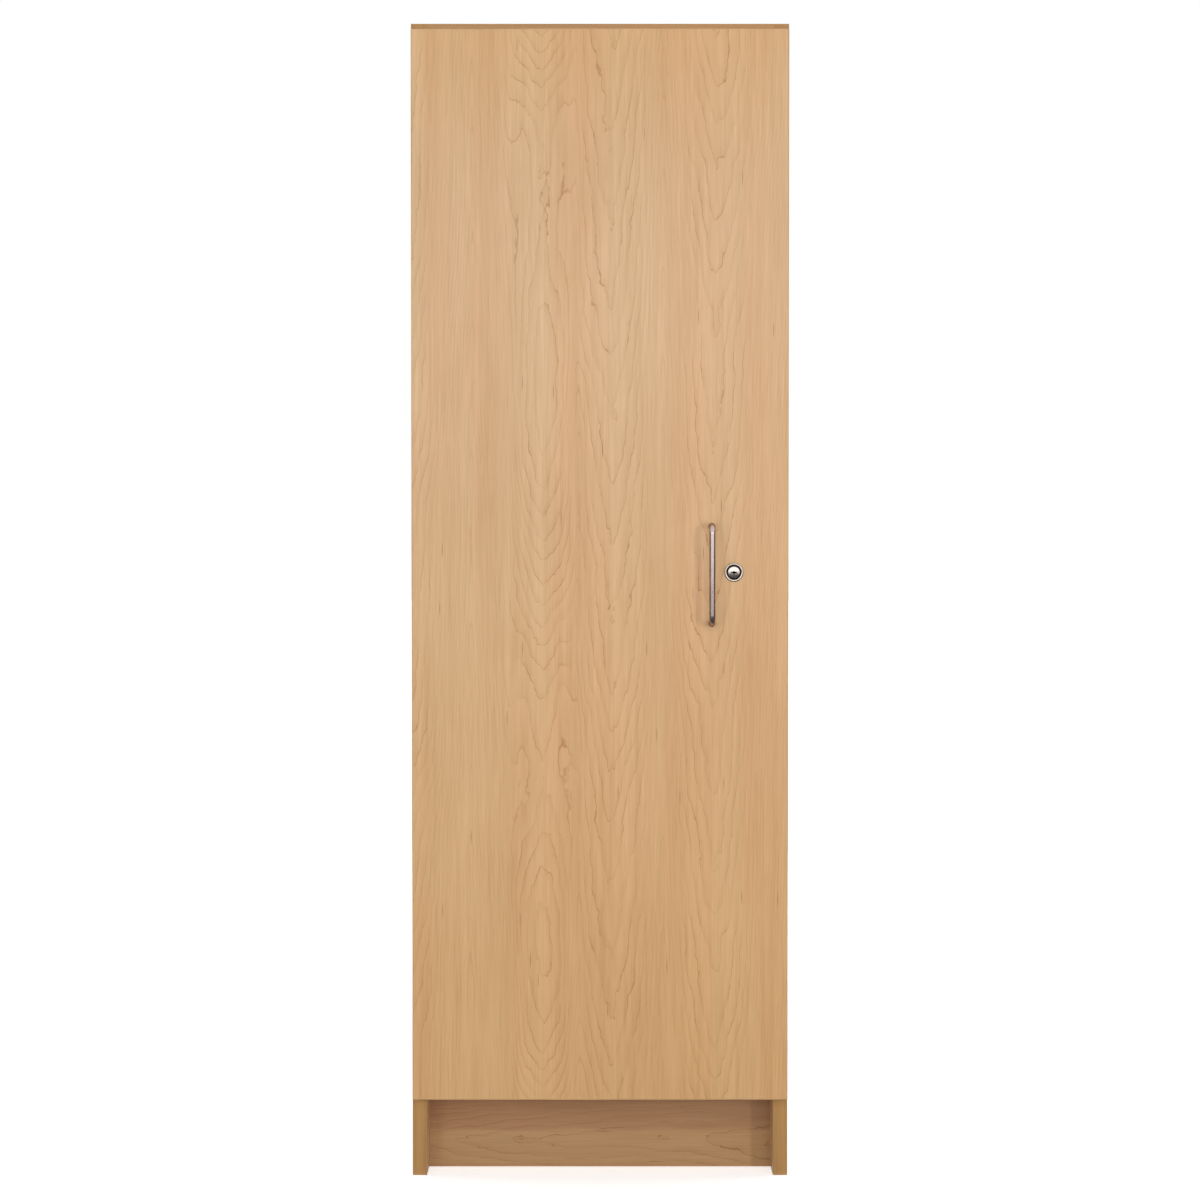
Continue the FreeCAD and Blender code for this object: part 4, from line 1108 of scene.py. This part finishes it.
def stage_mesh(name, corners, faces, material):
    """Flat or folded sheet that belongs to the studio."""
    mesh = bpy.data.meshes.new(name)
    mesh.from_pydata(corners, [], faces)
    mesh.materials.append(material)
    sheet = bpy.data.objects.new(name, mesh)
    bpy.context.scene.collection.objects.link(sheet)
    return sheet


def add_floor():
    """Pale floor that looks white where light reaches it, and keeps the cabinet's shadow."""
    reach = 30.0
    shaded = 0.7
    white = 1.9
    material = bpy.data.materials.new("pale floor")
    material.use_nodes = True
    nodes = Nodes(material.node_tree)
    material.node_tree.nodes.clear()
    matte = nodes.node("ShaderNodeBsdfDiffuse", None, {"Color": (0.80, 0.80, 0.80)})
    where = nodes.coordinates("Object")
    away = (where["X"] * where["X"] + where["Y"] * where["Y"]) ** 0.5
    strength = nodes.ease(away, shaded, white, 0.62, 1.0) * seen_directly(nodes)
    glow = nodes.node("ShaderNodeEmission", None, {"Strength": strength})
    both = nodes.node("ShaderNodeAddShader", None, {0: matte, 1: glow})
    nodes.node("ShaderNodeOutputMaterial", None, {"Surface": both})
    corners = [(-reach, -reach, 0.0), (reach, -reach, 0.0), (reach, reach, 0.0), (-reach, reach, 0.0)]
    stage_mesh("floor", corners, [(0, 1, 2, 3)], material)


def add_reflector():
    """Bowl in front, seen only in reflections: bright in its middle, dark at its sides and on its floor."""
    near = 0.30
    radius = 5.0
    side_start = 3.5
    side_end = 4.75
    brightest = 1.5
    top = 2.7
    lift = 4 * MM
    steps = 48
    span = math.radians(105)
    profile = ((near, lift), (radius, lift), (radius, top))
    corners = []
    for step in range(steps + 1):
        turn = -span + 2 * span * step / steps
        corners += [(r * math.sin(turn), -r * math.cos(turn), z) for r, z in profile]
    faces = []
    for step in range(steps):
        first, after = 3 * step, 3 * step + 3
        faces += [(first, after, after + 1, first + 1), (first + 1, after + 1, after + 2, first + 2)]
    material = bpy.data.materials.new("reflector")
    material.use_nodes = True
    nodes = Nodes(material.node_tree)
    material.node_tree.nodes.clear()
    where = nodes.coordinates("Object")
    middle = nodes.ease(abs(where["X"]), side_end, side_start, 0.05, 1.0)
    rise = nodes.ease(where["Z"], 0.0, brightest, 0.10, 2.1)
    glow = nodes.node("ShaderNodeEmission", None, {"Strength": middle * rise})
    nodes.node("ShaderNodeOutputMaterial", None, {"Surface": glow})
    screen = stage_mesh("reflector", corners, faces, material)
    screen.visible_camera = False
    screen.visible_diffuse = False
    screen.visible_transmission = False
    screen.visible_shadow = False


operators = (
    CABINET_OT_stage,
    CABINET_OT_boards,
    CABINET_OT_edge_bands,
    CABINET_OT_pull,
    CABINET_OT_lock,
    CABINET_OT_hinges,
    CABINET_OT_screws,
    CABINET_OT_small_parts,
)
groups = {
    "cabinet_laminate": LaminateSettings,
    "cabinet_metal": MetalSettings,
    "cabinet_studio": StudioSettings,
}


class CABINET_PT_panel(bpy.types.Panel):
    """The cabinet's pieces and settings"""

    bl_label = "Cabinet"
    bl_idname = "CABINET_PT_panel"
    bl_space_type = "VIEW_3D"
    bl_region_type = "UI"
    bl_category = "Cabinet"

    def draw(self, context):
        for operator in operators:
            self.layout.operator(operator.bl_idname)
        for name, group in groups.items():
            box = self.layout.box()
            for key in group.__annotations__:
                box.prop(getattr(context.scene, name), key)


def register():
    for name, group in groups.items():
        bpy.utils.register_class(group)
        setattr(bpy.types.Scene, name, PointerProperty(type=group))
    for operator in operators:
        bpy.utils.register_class(operator)
    bpy.utils.register_class(CABINET_PT_panel)


def unregister():
    bpy.utils.unregister_class(CABINET_PT_panel)
    for operator in reversed(operators):
        bpy.utils.unregister_class(operator)
    for name, group in groups.items():
        delattr(bpy.types.Scene, name)
        bpy.utils.unregister_class(group)


def main():
    register()
    bpy.ops.cabinet.stage()
    bpy.ops.cabinet.boards()
    bpy.ops.cabinet.edge_bands()
    bpy.ops.cabinet.pull()
    bpy.ops.cabinet.lock()
    bpy.ops.cabinet.hinges()
    bpy.ops.cabinet.screws()
    bpy.ops.cabinet.small_parts()


if __name__ == "__main__":
    main()
